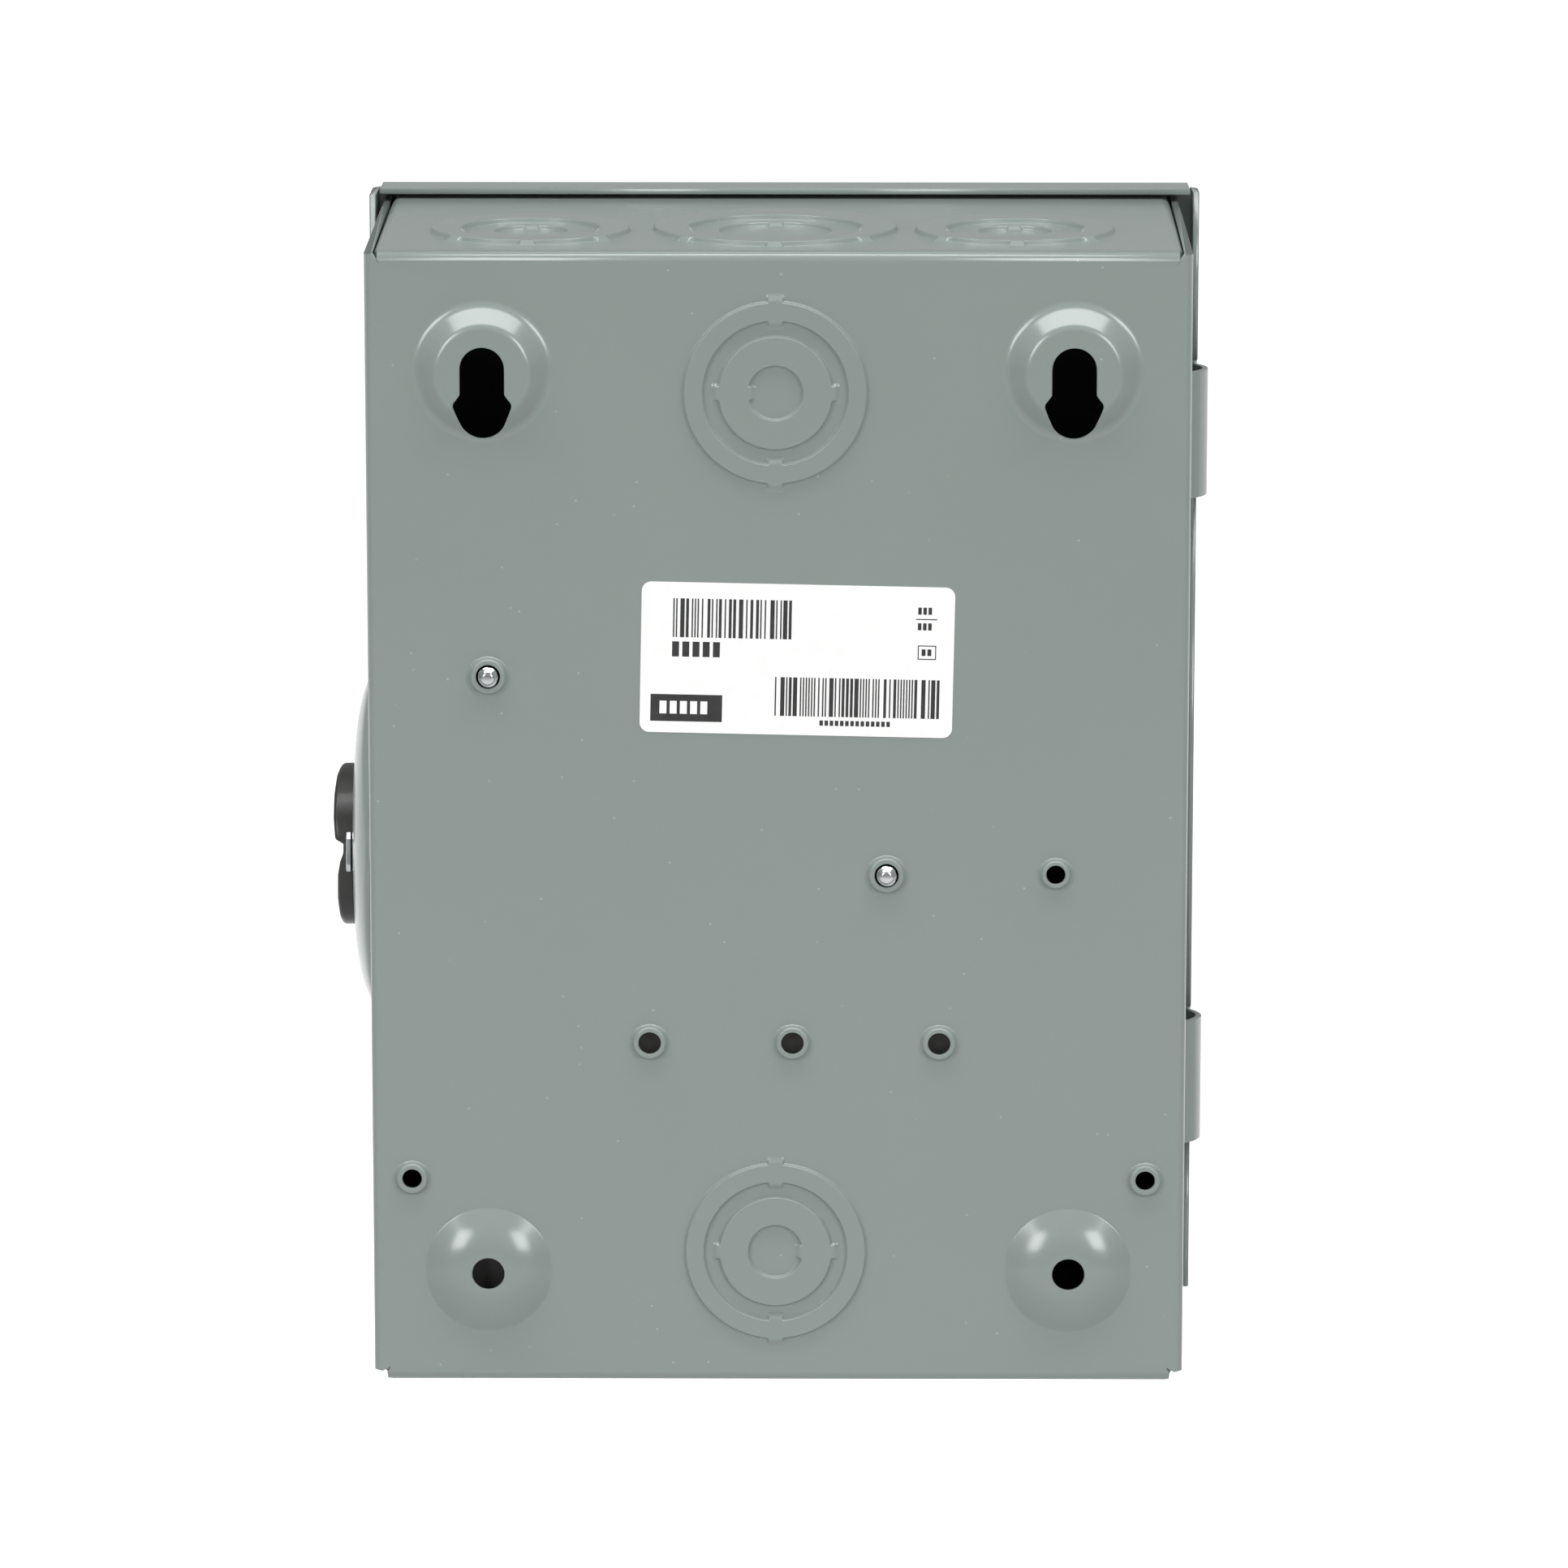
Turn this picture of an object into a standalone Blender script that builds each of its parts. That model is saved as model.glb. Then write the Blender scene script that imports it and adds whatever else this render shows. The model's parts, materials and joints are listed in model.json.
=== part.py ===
"""A 30 A fusible safety switch (AC disconnect box): steel box, hinged cover, side handle, switch, fuses.

All dimensions are in millimetres and are scaled to metres when an object is made.
Row axes: +X towards the handle side, +Z up, +Y towards the wall; the origin is in the wall plane.
Inside the script a place is written (x, d, z), where the depth d runs from the outer face of the back
sheet towards the cover, so the wall plane is at d = -BOSS_HEIGHT and y = -(d + BOSS_HEIGHT).
"""
import math

import bmesh
import bpy
from mathutils import Matrix, Vector
from mathutils.geometry import delaunay_2d_cdt

MM = 0.001

# ---- driving dimensions -------------------------------------------------------------------------
BOX_WIDTH = 170.8            # outside of the side walls
BOX_HEIGHT = 240.8           # outside of the end walls
BOX_FRONT = 88.5             # depth of the box's front edges
SHEET = 1.4                  # sheet thickness of box and cover
BEND = 2.0                   # outer bend radius of the box
BOSS_HEIGHT = 4.0            # how far the mounting bosses stand off the back sheet
GAP = 0.3                    # clearance between pieces that touch

COVER_FACE = 91.25           # depth of the cover's outer face
COVER_REAR = 76.65           # depth of the rear edges of the cover's flanges
COVER_TOP_REAR = 80.0        # depth of the upper flange's rear edge
COVER_HINGE_REAR = 82.0      # the same for the short flange on the hinge side
COVER_TOP = 122.75           # half height over the cover
COVER_RIGHT = 88.3           # outer face of the flange on the handle side (+X)
COVER_LEFT = 90.0            # outer face of the flange on the hinge side (-X)
COVER_BEND = 1.6             # outer bend radius of the cover

HINGE_X = -(BOX_WIDTH / 2 - SHEET / 2)
HINGE_D = 80.0
HOOK_RADIUS = 7.5            # outer radius of the cover's hinge hooks
HOOK_SPANS = ((-86.8, -59.6), (56.5, 83.8))
HOOK_START = 135.0           # degrees; 90 points to the front, 180 outwards, 270 to the wall
HOOK_END = 302.0

PIVOT_D = 39.5               # axis of handle, shaft and blades, parallel to X
DOME_HEIGHT = 4.6            # round pressing of the side wall under the handle
PIVOT_Z = -11.0
BLADE_OPEN = 60.0            # degrees between OFF and ON

POLES = (6.0, 40.0)          # x of the two poles
BLADE_HALF = 21.5
FUSE_D = 32.3
FUSE_TOP = -38.6
FUSE_LENGTH = 50.8
FUSE_RADIUS = 7.15
FERRULE = 12.7

BASE_SCREWS = ((60.3, 31.45), (-22.6, -10.7))
BRACKET_SCREWS = ((64.0, -27.0), (64.0, 5.0))
NEUTRAL_SCREW_Z = (-30.0, -14.0, 2.0, 18.0)
HASP_X = 20.0
HASP_HOLE = 3.2

# pressed features of the box, as (x, z) on the back sheet
KEYHOLES = ((-61.0, 95.5), (61.0, 95.5))
DIMPLES = ((-61.0, -96.0), (61.0, -96.0))
BACK_KNOCKOUTS = ((0.6, 91.0), (0.6, -91.9))
EYELETS = (                  # (x, z, hole radius, collar radius) of the drawn holes
    (26.96, -46.7, 2.3, 3.3),
    (-2.96, -46.7, 2.3, 3.3),
    (-33.7, -46.8, 2.3, 3.3),
    (-57.9, -10.5, 1.95, 2.85),
    (77.0, -76.1, 2.0, 3.1),
    (-77.1, -76.3, 2.0, 3.1),
    (60.3, 31.45, 2.45, 3.55),
    (-22.6, -10.7, 2.45, 3.55),
)
END_KNOCKOUTS = ((-49.3, 30.4, 20.8), (0.8, 33.3, 25.5), (52.0, 30.4, 20.8))   # (x, d, outer radius)
SIDE_KNOCKOUTS = ((1, -78.0), (-1, -78.0))                                        # (side, z)
SIDE_KNOCKOUT_D = 40.0
SIDE_KNOCKOUT_RADIUS = 14.5
BACK_KNOCKOUT_RADIUS = 19.2
DIMPLE_HOLE = 3.35
SHAFT_HOLE = 7.0


def place(x, d, z):
    """World vector in metres of the place (x, d, z)."""
    return Vector((x, -(d + BOSS_HEIGHT), z)) * MM


# ---- materials ----------------------------------------------------------------------------------
def make_material(name, color, roughness, metallic=0.0):
    material = bpy.data.materials.new(name)
    material.use_nodes = True
    shader = material.node_tree.nodes["Principled BSDF"]
    shader.inputs["Base Color"].default_value = (*color, 1.0)
    shader.inputs["Roughness"].default_value = roughness
    shader.inputs["Metallic"].default_value = metallic
    material.diffuse_color = (*color, 1.0)
    return material


LOOKS = {
    "paint": ((0.27, 0.32, 0.30), 0.38, 0.0),
    "handle_black": ((0.035, 0.035, 0.032), 0.40, 0.0),
    "moulding": ((0.03, 0.03, 0.03), 0.55, 0.0),
    "crossbar_red": ((0.30, 0.05, 0.03), 0.50, 0.0),
    "fibre": ((0.05, 0.05, 0.055), 0.65, 0.0),
    "copper": ((0.72, 0.38, 0.22), 0.32, 1.0),
    "tin": ((0.72, 0.72, 0.70), 0.38, 1.0),
    "zinc": ((0.66, 0.67, 0.68), 0.30, 1.0),
    "fuse_tube": ((0.62, 0.55, 0.42), 0.60, 0.0),
    "nylon": ((0.85, 0.84, 0.80), 0.45, 0.0),
    "paper": ((0.85, 0.85, 0.83), 0.55, 0.0),
}
MATERIALS = {}               # filled by main()


# ---- mesh tools ---------------------------------------------------------------------------------
def add_object(name, mesh, material, pivot=None):
    """Links a mesh given in world metres; pivot = (x, d, z) becomes the object's origin."""
    item = bpy.data.objects.new(name, mesh)
    bpy.context.collection.objects.link(item)
    mesh.materials.clear()
    mesh.materials.append(MATERIALS[material])
    if pivot:
        origin = place(*pivot)
        mesh.transform(Matrix.Translation(-origin))
        item.location = origin
    return item


def finish_mesh(bm, name="shape"):
    bmesh.ops.recalc_face_normals(bm, faces=bm.faces)
    mesh = bpy.data.meshes.new(name)
    bm.to_mesh(mesh)
    bm.free()
    return mesh


def block(x_span, d_span, z_span):
    """Rectangular block between the given limits."""
    bm = bmesh.new()
    bmesh.ops.create_cube(bm, size=1.0)
    low = place(x_span[0], d_span[0], z_span[0])
    high = place(x_span[1], d_span[1], z_span[1])
    size = [abs(b - a) for a, b in zip(low, high)]
    bm.transform(Matrix.Translation((low + high) / 2) @ Matrix.Diagonal((*size, 1.0)))
    return finish_mesh(bm)


AXIS_PLACES = {
    "x": lambda along, first, second: place(along, first, second),      # outline in (d, z)
    "d": lambda along, first, second: place(first, along, second),      # outline in (x, z)
    "z": lambda along, first, second: place(first, second, along),      # outline in (x, d)
}


def prism(axis, outline, span):
    """Extrudes a closed outline of (first, second) points along one axis."""
    bm = bmesh.new()
    start = [bm.verts.new(AXIS_PLACES[axis](span[0], *point)) for point in outline]
    face = bm.faces.new(start)
    swept = bmesh.ops.extrude_face_region(bm, geom=[face])
    moved = [item for item in swept["geom"] if isinstance(item, bmesh.types.BMVert)]
    shift = AXIS_PLACES[axis](span[1], 0, 0) - AXIS_PLACES[axis](span[0], 0, 0)
    bmesh.ops.translate(bm, verts=moved, vec=shift)
    return finish_mesh(bm)


def arc(centre, radius, start, end, steps):
    """Points on an arc, angles in degrees."""
    points = []
    for step in range(steps + 1):
        angle = math.radians(start + (end - start) * step / steps)
        points.append((centre[0] + radius * math.cos(angle), centre[1] + radius * math.sin(angle)))
    return points


def circle(centre, radius, segments):
    return arc(centre, radius, 0.0, 360.0, segments)[:-1]


def rod(axis, centre, radius, span, segments=20):
    return prism(axis, circle(centre, radius, segments), span)


def revolve(axis, centre, profile, segments=20):
    """Turns a profile of (along, radius) points, which starts and ends at radius 0, about an axis."""
    bm = bmesh.new()
    rings = []
    for along, radius in profile:
        if radius == 0:
            rings.append([bm.verts.new(AXIS_PLACES[axis](along, *centre))])
        else:
            ring = [bm.verts.new(AXIS_PLACES[axis](along, *point)) for point in circle(centre, radius, segments)]
            rings.append(ring)
    for first, second in zip(rings, rings[1:]):
        for index in range(segments):
            after = (index + 1) % segments
            corners = [first[index % len(first)], first[after % len(first)],
                       second[after % len(second)], second[index % len(second)]]
            bm.faces.new(list(dict.fromkeys(corners)))
    return finish_mesh(bm)


def combine(base, others, operation):
    """Boolean of mesh data: every mesh in others is joined to or cut from base."""
    target = bpy.data.objects.new("target", base)
    bpy.context.collection.objects.link(target)
    tools = []
    for mesh in others:
        tool = bpy.data.objects.new("tool", mesh)
        bpy.context.collection.objects.link(tool)
        modifier = target.modifiers.new("boolean", "BOOLEAN")
        modifier.operation = operation
        modifier.object = tool
        modifier.solver = "EXACT"
        tools.append(tool)
    graph = bpy.context.evaluated_depsgraph_get()
    result = bpy.data.meshes.new_from_object(target.evaluated_get(graph))
    for item in tools + [target]:
        bpy.data.objects.remove(item)
    return result


def join(*meshes):
    return combine(meshes[0], meshes[1:], "UNION")


def cut(base, *meshes):
    return combine(base, meshes, "DIFFERENCE")


# ---- folded and pressed sheet -------------------------------------------------------------------
def bend(distance, radius):
    """Walks round a quarter bend: distance along the old plane, depth, and the turned normal."""
    quarter = radius * math.pi / 2
    if distance <= 0:
        return distance, 0.0, 0.0, 1.0
    if distance < quarter:
        angle = distance / radius
        return radius * math.sin(angle), radius * (1 - math.cos(angle)), math.sin(angle), math.cos(angle)
    return radius, radius + distance - quarter, 1.0, 0.0


def inside(point, outline):
    """Even-odd test of a point against a closed outline."""
    hit = False
    for first, second in zip(outline, outline[1:] + outline[:1]):
        if (first[1] > point[1]) != (second[1] > point[1]):
            crossing = first[0] + (point[1] - first[1]) * (second[0] - first[0]) / (second[1] - first[1])
            hit ^= point[0] < crossing
    return hit


def sheet_mesh(outline, holes, rings, lines, surface):
    """Closed sheet metal shape from a flat blank.

    outline, holes and rings are closed loops in the flat; lines are open strips that the mesh has to
    follow, such as bend lines. surface(u, v) gives the folded outer point and its outward normal.
    """
    coords = []
    edges = []
    for loop in [outline] + holes + rings:
        first = len(coords)
        coords.extend(Vector(point) for point in loop)
        edges.extend((first + i, first + (i + 1) % len(loop)) for i in range(len(loop)))
    for line in lines:
        first = len(coords)
        coords.extend(Vector(point) for point in line)
        edges.extend((first + i, first + i + 1) for i in range(len(line) - 1))
    points, _, faces, _, _, _ = delaunay_2d_cdt(coords, edges, [], 0, 1e-5)
    kept = []
    for face in faces:
        middle = sum((points[i] for i in face), Vector((0.0, 0.0))) / len(face)
        if inside(middle, outline) and not any(inside(middle, hole) for hole in holes):
            kept.append(face)
    bm = bmesh.new()
    outer = {}
    inner = {}
    for index in sorted({i for face in kept for i in face}):
        spot, normal = surface(points[index].x, points[index].y)
        outer[index] = bm.verts.new(place(*spot))
        inner[index] = bm.verts.new(place(*(spot - normal * SHEET)))
    sides = {}
    for face in kept:
        bm.faces.new([outer[i] for i in reversed(face)])
        bm.faces.new([inner[i] for i in face])
        for first, second in zip(face, list(face[1:]) + [face[0]]):
            sides[(first, second)] = sides.pop((second, first), None) is None
    for (first, second), open_edge in sides.items():
        if open_edge:
            bm.faces.new([outer[first], outer[second], inner[second], inner[first]])
    mesh = bpy.data.meshes.new("sheet")
    bm.to_mesh(mesh)
    bm.free()
    return mesh


# ---- the box ------------------------------------------------------------------------------------
FLAT_X = BOX_WIDTH / 2 - BEND              # half width of the flat part of the back
FLAT_Z = BOX_HEIGHT / 2 - BEND
QUARTER = BEND * math.pi / 2
TAB_X = BOX_WIDTH / 2 - SHEET - GAP - BEND    # where the end walls' side flanges start to bend
WALL_TOP = BOX_HEIGHT / 2 - 0.6               # how far the side walls reach up
WALL_FOOT = BOX_HEIGHT / 2 - 2.2              # how far they reach down
FLANGE = 12.0                               # height of those flanges


def side_u(d):
    """Flat distance from the middle of the blank to depth d on a side wall."""
    return FLAT_X + QUARTER + d - BEND


def end_v(d):
    return FLAT_Z + QUARTER + d - BEND


def pressed(feature, distance):
    """Height of a pressed feature at a distance from its centre."""
    steps = feature["steps"]
    if distance >= steps[-1][0]:
        return 0.0
    for (near, high), (far, low) in zip(steps, steps[1:]):
        if distance <= far:
            share = (distance - near) / (far - near) if far > near else 0.0
            return high + (low - high) * max(share, 0.0)
    return 0.0


def feature(centre, steps, segments=24):
    """A round pressing: steps are (radius, height) pairs from the middle outwards."""
    return {"centre": centre, "steps": steps, "segments": segments}


def dome_steps(flat, radius, height, count):
    """Quarter ellipse from a flat top down to the sheet."""
    steps = [(0.0, height)]
    for index in range(count + 1):
        angle = math.pi / 2 * index / count
        steps.append((flat + (radius - flat) * math.sin(angle), height * math.cos(angle)))
    return steps


def knockout_steps(radius, raised):
    """A knockout: a low raised disc."""
    return [(0.0, raised), (radius - 0.6, raised), (radius, 0.0)]


def keyhole(centre):
    """Keyhole outline: narrow slot above, wider entry below that tapers to a round end."""
    x, z = centre
    slot = 4.55
    shoulder_x = 4.5
    shoulder_z = z - 6.9
    points = arc((x, z + 0.8), slot, 0.0, 180.0, 8)
    points.append((x - slot, z - 4.4))
    points += arc((x - shoulder_x, shoulder_z), 1.5, 130.0, 205.0, 3)
    points += arc((x, z - 9.2), 4.85, 200.0, 340.0, 8)
    points += arc((x + shoulder_x, shoulder_z), 1.5, -25.0, 50.0, 3)
    points.append((x + slot, z - 4.4))
    return points


def box_features():
    features = []
    for x, z in KEYHOLES:
        features.append(feature((x, z), [(0.0, BOSS_HEIGHT), (9.5, BOSS_HEIGHT), (11.2, 3.2), (14.6, 0.0)]))
    for x, z in DIMPLES:
        features.append(feature((x, z), dome_steps(4.6, 13.8, BOSS_HEIGHT, 3)))
    for x, z in BACK_KNOCKOUTS:
        features.append(feature((x, z), knockout_steps(BACK_KNOCKOUT_RADIUS, 0.8), 16))
    for x, z, hole, collar in EYELETS:
        features.append(feature((x, z), [(0.0, 1.3), (collar, 1.3), (collar + 0.7, 0.0)], 10))
    for sign in (1, -1):
        for x, d, radius in END_KNOCKOUTS:
            features.append(feature((x, sign * end_v(d)), knockout_steps(radius, 1.0), 16))
    for side, z in SIDE_KNOCKOUTS:
        centre = (side * side_u(SIDE_KNOCKOUT_D), z)
        features.append(feature(centre, knockout_steps(SIDE_KNOCKOUT_RADIUS, 0.9), 16))
    features.append(feature((side_u(PIVOT_D), PIVOT_Z), dome_steps(19.0, 36.2, DOME_HEIGHT, 4), 32))
    return features


def box_outline():
    """Cross-shaped blank: side walls left and right, end walls with side flanges above and below."""
    side = side_u(BOX_FRONT)
    end = end_v(BOX_FRONT)
    notch_x = TAB_X + 1.0
    flange_x = TAB_X + QUARTER + FLANGE
    low = end_v(BEND + 4.0)
    high = end_v(BOX_FRONT - 1.5)

    def corner(wall):
        return [
            (side, wall),
            (FLAT_X + 0.4, wall),
            (FLAT_X - 1.6, FLAT_Z - 1.2),
            (notch_x, FLAT_Z + 0.6),
            (notch_x, low - 1.0),
            (flange_x - 2.0, low),
            (flange_x, low + 2.0),
            (flange_x, high - 4.0),
            (flange_x - 4.0, high),
            (notch_x, end),
        ]

    points = corner(WALL_TOP)
    points += [(-u, v) for u, v in reversed(corner(WALL_TOP))]
    points += [(-u, -v) for u, v in corner(WALL_FOOT)]
    points += [(u, -v) for u, v in reversed(corner(WALL_FOOT))]
    return points


def box_surface(features):
    """Gives the function that folds the box's blank and presses the features into it."""
    def surface(u, v):
        side = math.copysign(1.0, u)
        end = math.copysign(1.0, v)
        on_end_bend = abs(v) > FLAT_Z and abs(u) < FLAT_X - 0.5
        if on_end_bend or abs(v) > BOX_HEIGHT / 2:
            along, depth, sine, cosine = bend(abs(v) - FLAT_Z, BEND)
            across, drop, turn, level = bend(abs(u) - TAB_X, BEND)
            spot = Vector((side * (TAB_X + across), depth, end * (FLAT_Z + along - drop)))
            normal = Vector((side * turn, -cosine, end * sine * level))
        else:
            along, depth, sine, cosine = bend(abs(u) - FLAT_X, BEND)
            spot = Vector((side * (FLAT_X + along), depth, v))
            normal = Vector((side * sine, -cosine, 0.0))
        height = 0.0
        for item in features:
            distance = math.hypot(u - item["centre"][0], v - item["centre"][1])
            height += pressed(item, distance)
        return spot + normal.normalized() * height, normal.normalized()
    return surface


def box_lines():
    """Lines in the flat blank that the bends need."""
    lines = []
    steps = 4
    for sign in (1, -1):
        for step in range(steps + 1):
            offset = QUARTER * step / steps
            top = FLAT_Z - 1.4 if step == 0 else WALL_TOP - 0.1
            foot = FLAT_Z - 1.4 if step == 0 else WALL_FOOT - 0.1
            lines.append([(sign * (FLAT_X + offset), -foot), (sign * (FLAT_X + offset), top)])
            lines.append([(-TAB_X - 0.9, sign * (FLAT_Z + offset)), (TAB_X + 0.9, sign * (FLAT_Z + offset))])
            for end in (1, -1):
                low = end_v(BEND + 4.1)
                high = end_v(BOX_FRONT - 1.6)
                if offset <= 0.9:
                    low = end_v(BEND)
                    high = end_v(BOX_FRONT) - 0.1
                lines.append([(sign * (TAB_X + offset), end * low), (sign * (TAB_X + offset), end * high)])
    return lines


def make_enclosure():
    features = box_features()
    holes = [keyhole(centre) for centre in KEYHOLES]
    holes += [circle(centre, DIMPLE_HOLE, 16) for centre in DIMPLES]
    holes += [circle((x, z), hole, 10) for x, z, hole, collar in EYELETS]
    holes.append(circle((side_u(PIVOT_D), PIVOT_Z), SHAFT_HOLE, 20))
    slot = (HINGE_D - HOOK_RADIUS - GAP, HINGE_D - HOOK_RADIUS + SHEET + GAP + 0.1)
    for low, high in HOOK_SPANS:
        near = -side_u(slot[0])
        far = -side_u(slot[1])
        holes.append([(far, low - GAP), (near, low - GAP), (near, high + GAP), (far, high + GAP)])
    rings = []
    for item in features:
        for radius, _ in item["steps"][1:]:
            rings.append(circle(item["centre"], radius, item["segments"]))
    mesh = sheet_mesh(box_outline(), holes, rings, box_lines(), box_surface(features))
    return add_object("enclosure_body", mesh, "paint")


# ---- the cover ----------------------------------------------------------------------------------
COVER_MIDDLE = (COVER_RIGHT - COVER_LEFT) / 2
COVER_FLAT_X = (COVER_RIGHT + COVER_LEFT) / 2 - COVER_BEND
COVER_FLAT_Z = COVER_TOP - COVER_BEND
COVER_QUARTER = COVER_BEND * math.pi / 2
FLANGE_GAP = 0.6                            # how far the end flanges stay clear of the side bends
HOOK_KNEE = HINGE_D + HOOK_RADIUS * math.sin(math.radians(HOOK_START))


def flange_length(rear):
    """Flat length from the start of the cover's bend to the rear edge at depth rear."""
    return COVER_QUARTER + COVER_FACE - COVER_BEND - rear


def in_hook(v):
    return any(low - 0.01 <= v <= high + 0.01 for low, high in HOOK_SPANS)


def cover_surface(u, v):
    """The cover's blank folded up; u runs from the handle side to the hinge side."""
    side = math.copysign(1.0, u)
    end = math.copysign(1.0, v)
    if abs(v) > COVER_FLAT_Z and abs(u) < COVER_FLAT_X - FLANGE_GAP / 2:
        along, drop, sine, cosine = bend(abs(v) - COVER_FLAT_Z, COVER_BEND)
        spot = Vector((COVER_MIDDLE - u, COVER_FACE - drop, end * (COVER_FLAT_Z + along)))
        return spot, Vector((0.0, cosine, end * sine))
    beyond = abs(u) - COVER_FLAT_X - flange_length(HOOK_KNEE)
    if u > 0 and in_hook(v) and beyond > 0:
        angle = math.radians(HOOK_START) + beyond / HOOK_RADIUS
        normal = Vector((math.cos(angle), math.sin(angle), 0.0))
        return Vector((HINGE_X, HINGE_D, v)) + normal * HOOK_RADIUS, normal
    along, drop, sine, cosine = bend(abs(u) - COVER_FLAT_X, COVER_BEND)
    spot = Vector((COVER_MIDDLE - side * (COVER_FLAT_X + along), COVER_FACE - drop, v))
    return spot, Vector((-side * sine, cosine, 0.0))


def make_cover():
    wall = COVER_TOP - 1.2
    right = COVER_FLAT_X + flange_length(COVER_REAR)
    left = COVER_FLAT_X + flange_length(COVER_HINGE_REAR)
    root = COVER_FLAT_X + flange_length(HOOK_KNEE) - 0.4
    sweep = math.radians(HOOK_END - HOOK_START) * HOOK_RADIUS
    tip = COVER_FLAT_X + flange_length(HOOK_KNEE) + sweep
    top_end = COVER_FLAT_Z + flange_length(COVER_TOP_REAR)
    low_end = COVER_FLAT_Z + flange_length(COVER_REAR)
    top_x = COVER_FLAT_X - FLANGE_GAP
    hinge_edge = [(left, -wall)]
    for low, high in HOOK_SPANS:
        hinge_edge += [(left, low - 1.5), (root, low - 1.5), (root, low), (tip, low)]
        hinge_edge += [(tip, high), (root, high), (root, high + 1.5), (left, high + 1.5)]
    hinge_edge.append((left, wall))
    corner = [(COVER_FLAT_X + 0.3, wall), (top_x, COVER_FLAT_Z - 0.3)]
    upper = [*corner, (top_x, top_end)]
    lower = [*corner, (top_x, low_end)]
    outline = hinge_edge + upper
    outline += [(-u, v) for u, v in reversed(upper)] + [(-right, wall), (-right, -wall)]
    outline += [(-u, -v) for u, v in lower]
    outline += [(u, -v) for u, v in reversed(lower)]
    lines = []
    steps = 4
    for step in range(steps + 1):
        offset = COVER_QUARTER * step / steps
        reach = COVER_FLAT_Z - 0.4 if step == 0 else wall - 0.1
        for sign in (1, -1):
            lines.append([(sign * (COVER_FLAT_X + offset), -reach), (sign * (COVER_FLAT_X + offset), reach)])
            across = top_x - 0.1
            lines.append([(-across, sign * (COVER_FLAT_Z + offset)), (across, sign * (COVER_FLAT_Z + offset))])
    bends = 9
    for low, high in HOOK_SPANS:
        for step in range(bends):
            u = COVER_FLAT_X + flange_length(HOOK_KNEE) + sweep * step / bends
            lines.append([(u, low), (u, high)])
    mesh = sheet_mesh(outline, [], [], lines, cover_surface)
    return add_object("cover", mesh, "paint", (HINGE_X, HINGE_D, 0.0))


def make_cover_fittings():
    hinge = (HINGE_X, HINGE_D, 0.0)
    front = COVER_FACE + GAP
    label = block((-42.0, 38.0), (front, front + 0.3), (30.0, 92.0))
    add_object("cover_label", label, "paper", hinge)
    back = COVER_FACE - SHEET - GAP
    add_object("wiring_label", block((-60.0, 20.0), (back - 0.3, back), (-60.0, 40.0)), "paper", hinge)
    stem = [(back, 2.3), (back, 14.0), (back - 1.5, 14.0), (back - 1.5, 5.0), (57.5, 5.0), (57.5, -5.5),
            (59.5, -5.5), (59.5, 2.3)]
    add_object("interlock_hook", prism("x", stem, (64.0, 66.0)), "zinc", hinge)
    flange = -COVER_TOP - GAP
    profile = [(HASP_X + 2.5, flange), (HASP_X + 15.0, flange), (HASP_X + 15.0, flange - 1.5),
               (HASP_X + 4.0, flange - 1.5), (HASP_X + 4.0, -131.5), (HASP_X + 2.5, -131.5)]
    tab = prism("d", profile, (77.0, 88.0))
    hole = rod("x", (82.5, -127.0), HASP_HOLE, (HASP_X, HASP_X + 10.0), 16)
    add_object("cover_hasp", cut(tab, hole), "zinc", hinge)
    under = -BOX_HEIGHT / 2 - GAP
    outline = [(62.0, under), (75.9, under), (75.9, flange - 1.0), (88.0, flange - 1.0), (88.0, -131.5), (76.0, -131.5)]
    tab = prism("x", outline, (HASP_X, HASP_X + 1.5))
    hole = rod("x", (82.5, -127.0), HASP_HOLE, (HASP_X - 5.0, HASP_X + 5.0), 16)
    add_object("box_hasp", cut(tab, hole), "zinc")


# ---- the switch base and what it holds ----------------------------------------------------------
RIBS = ((-16.0, -12.0), (21.5, 24.5), (57.0, 60.0))
FLOOR_TOP = 14.0
PEDESTAL_TOP = 22.0
TERMINAL_TOP = 28.0
RIB_TOP = 58.0
JOURNAL = 5.7


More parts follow.
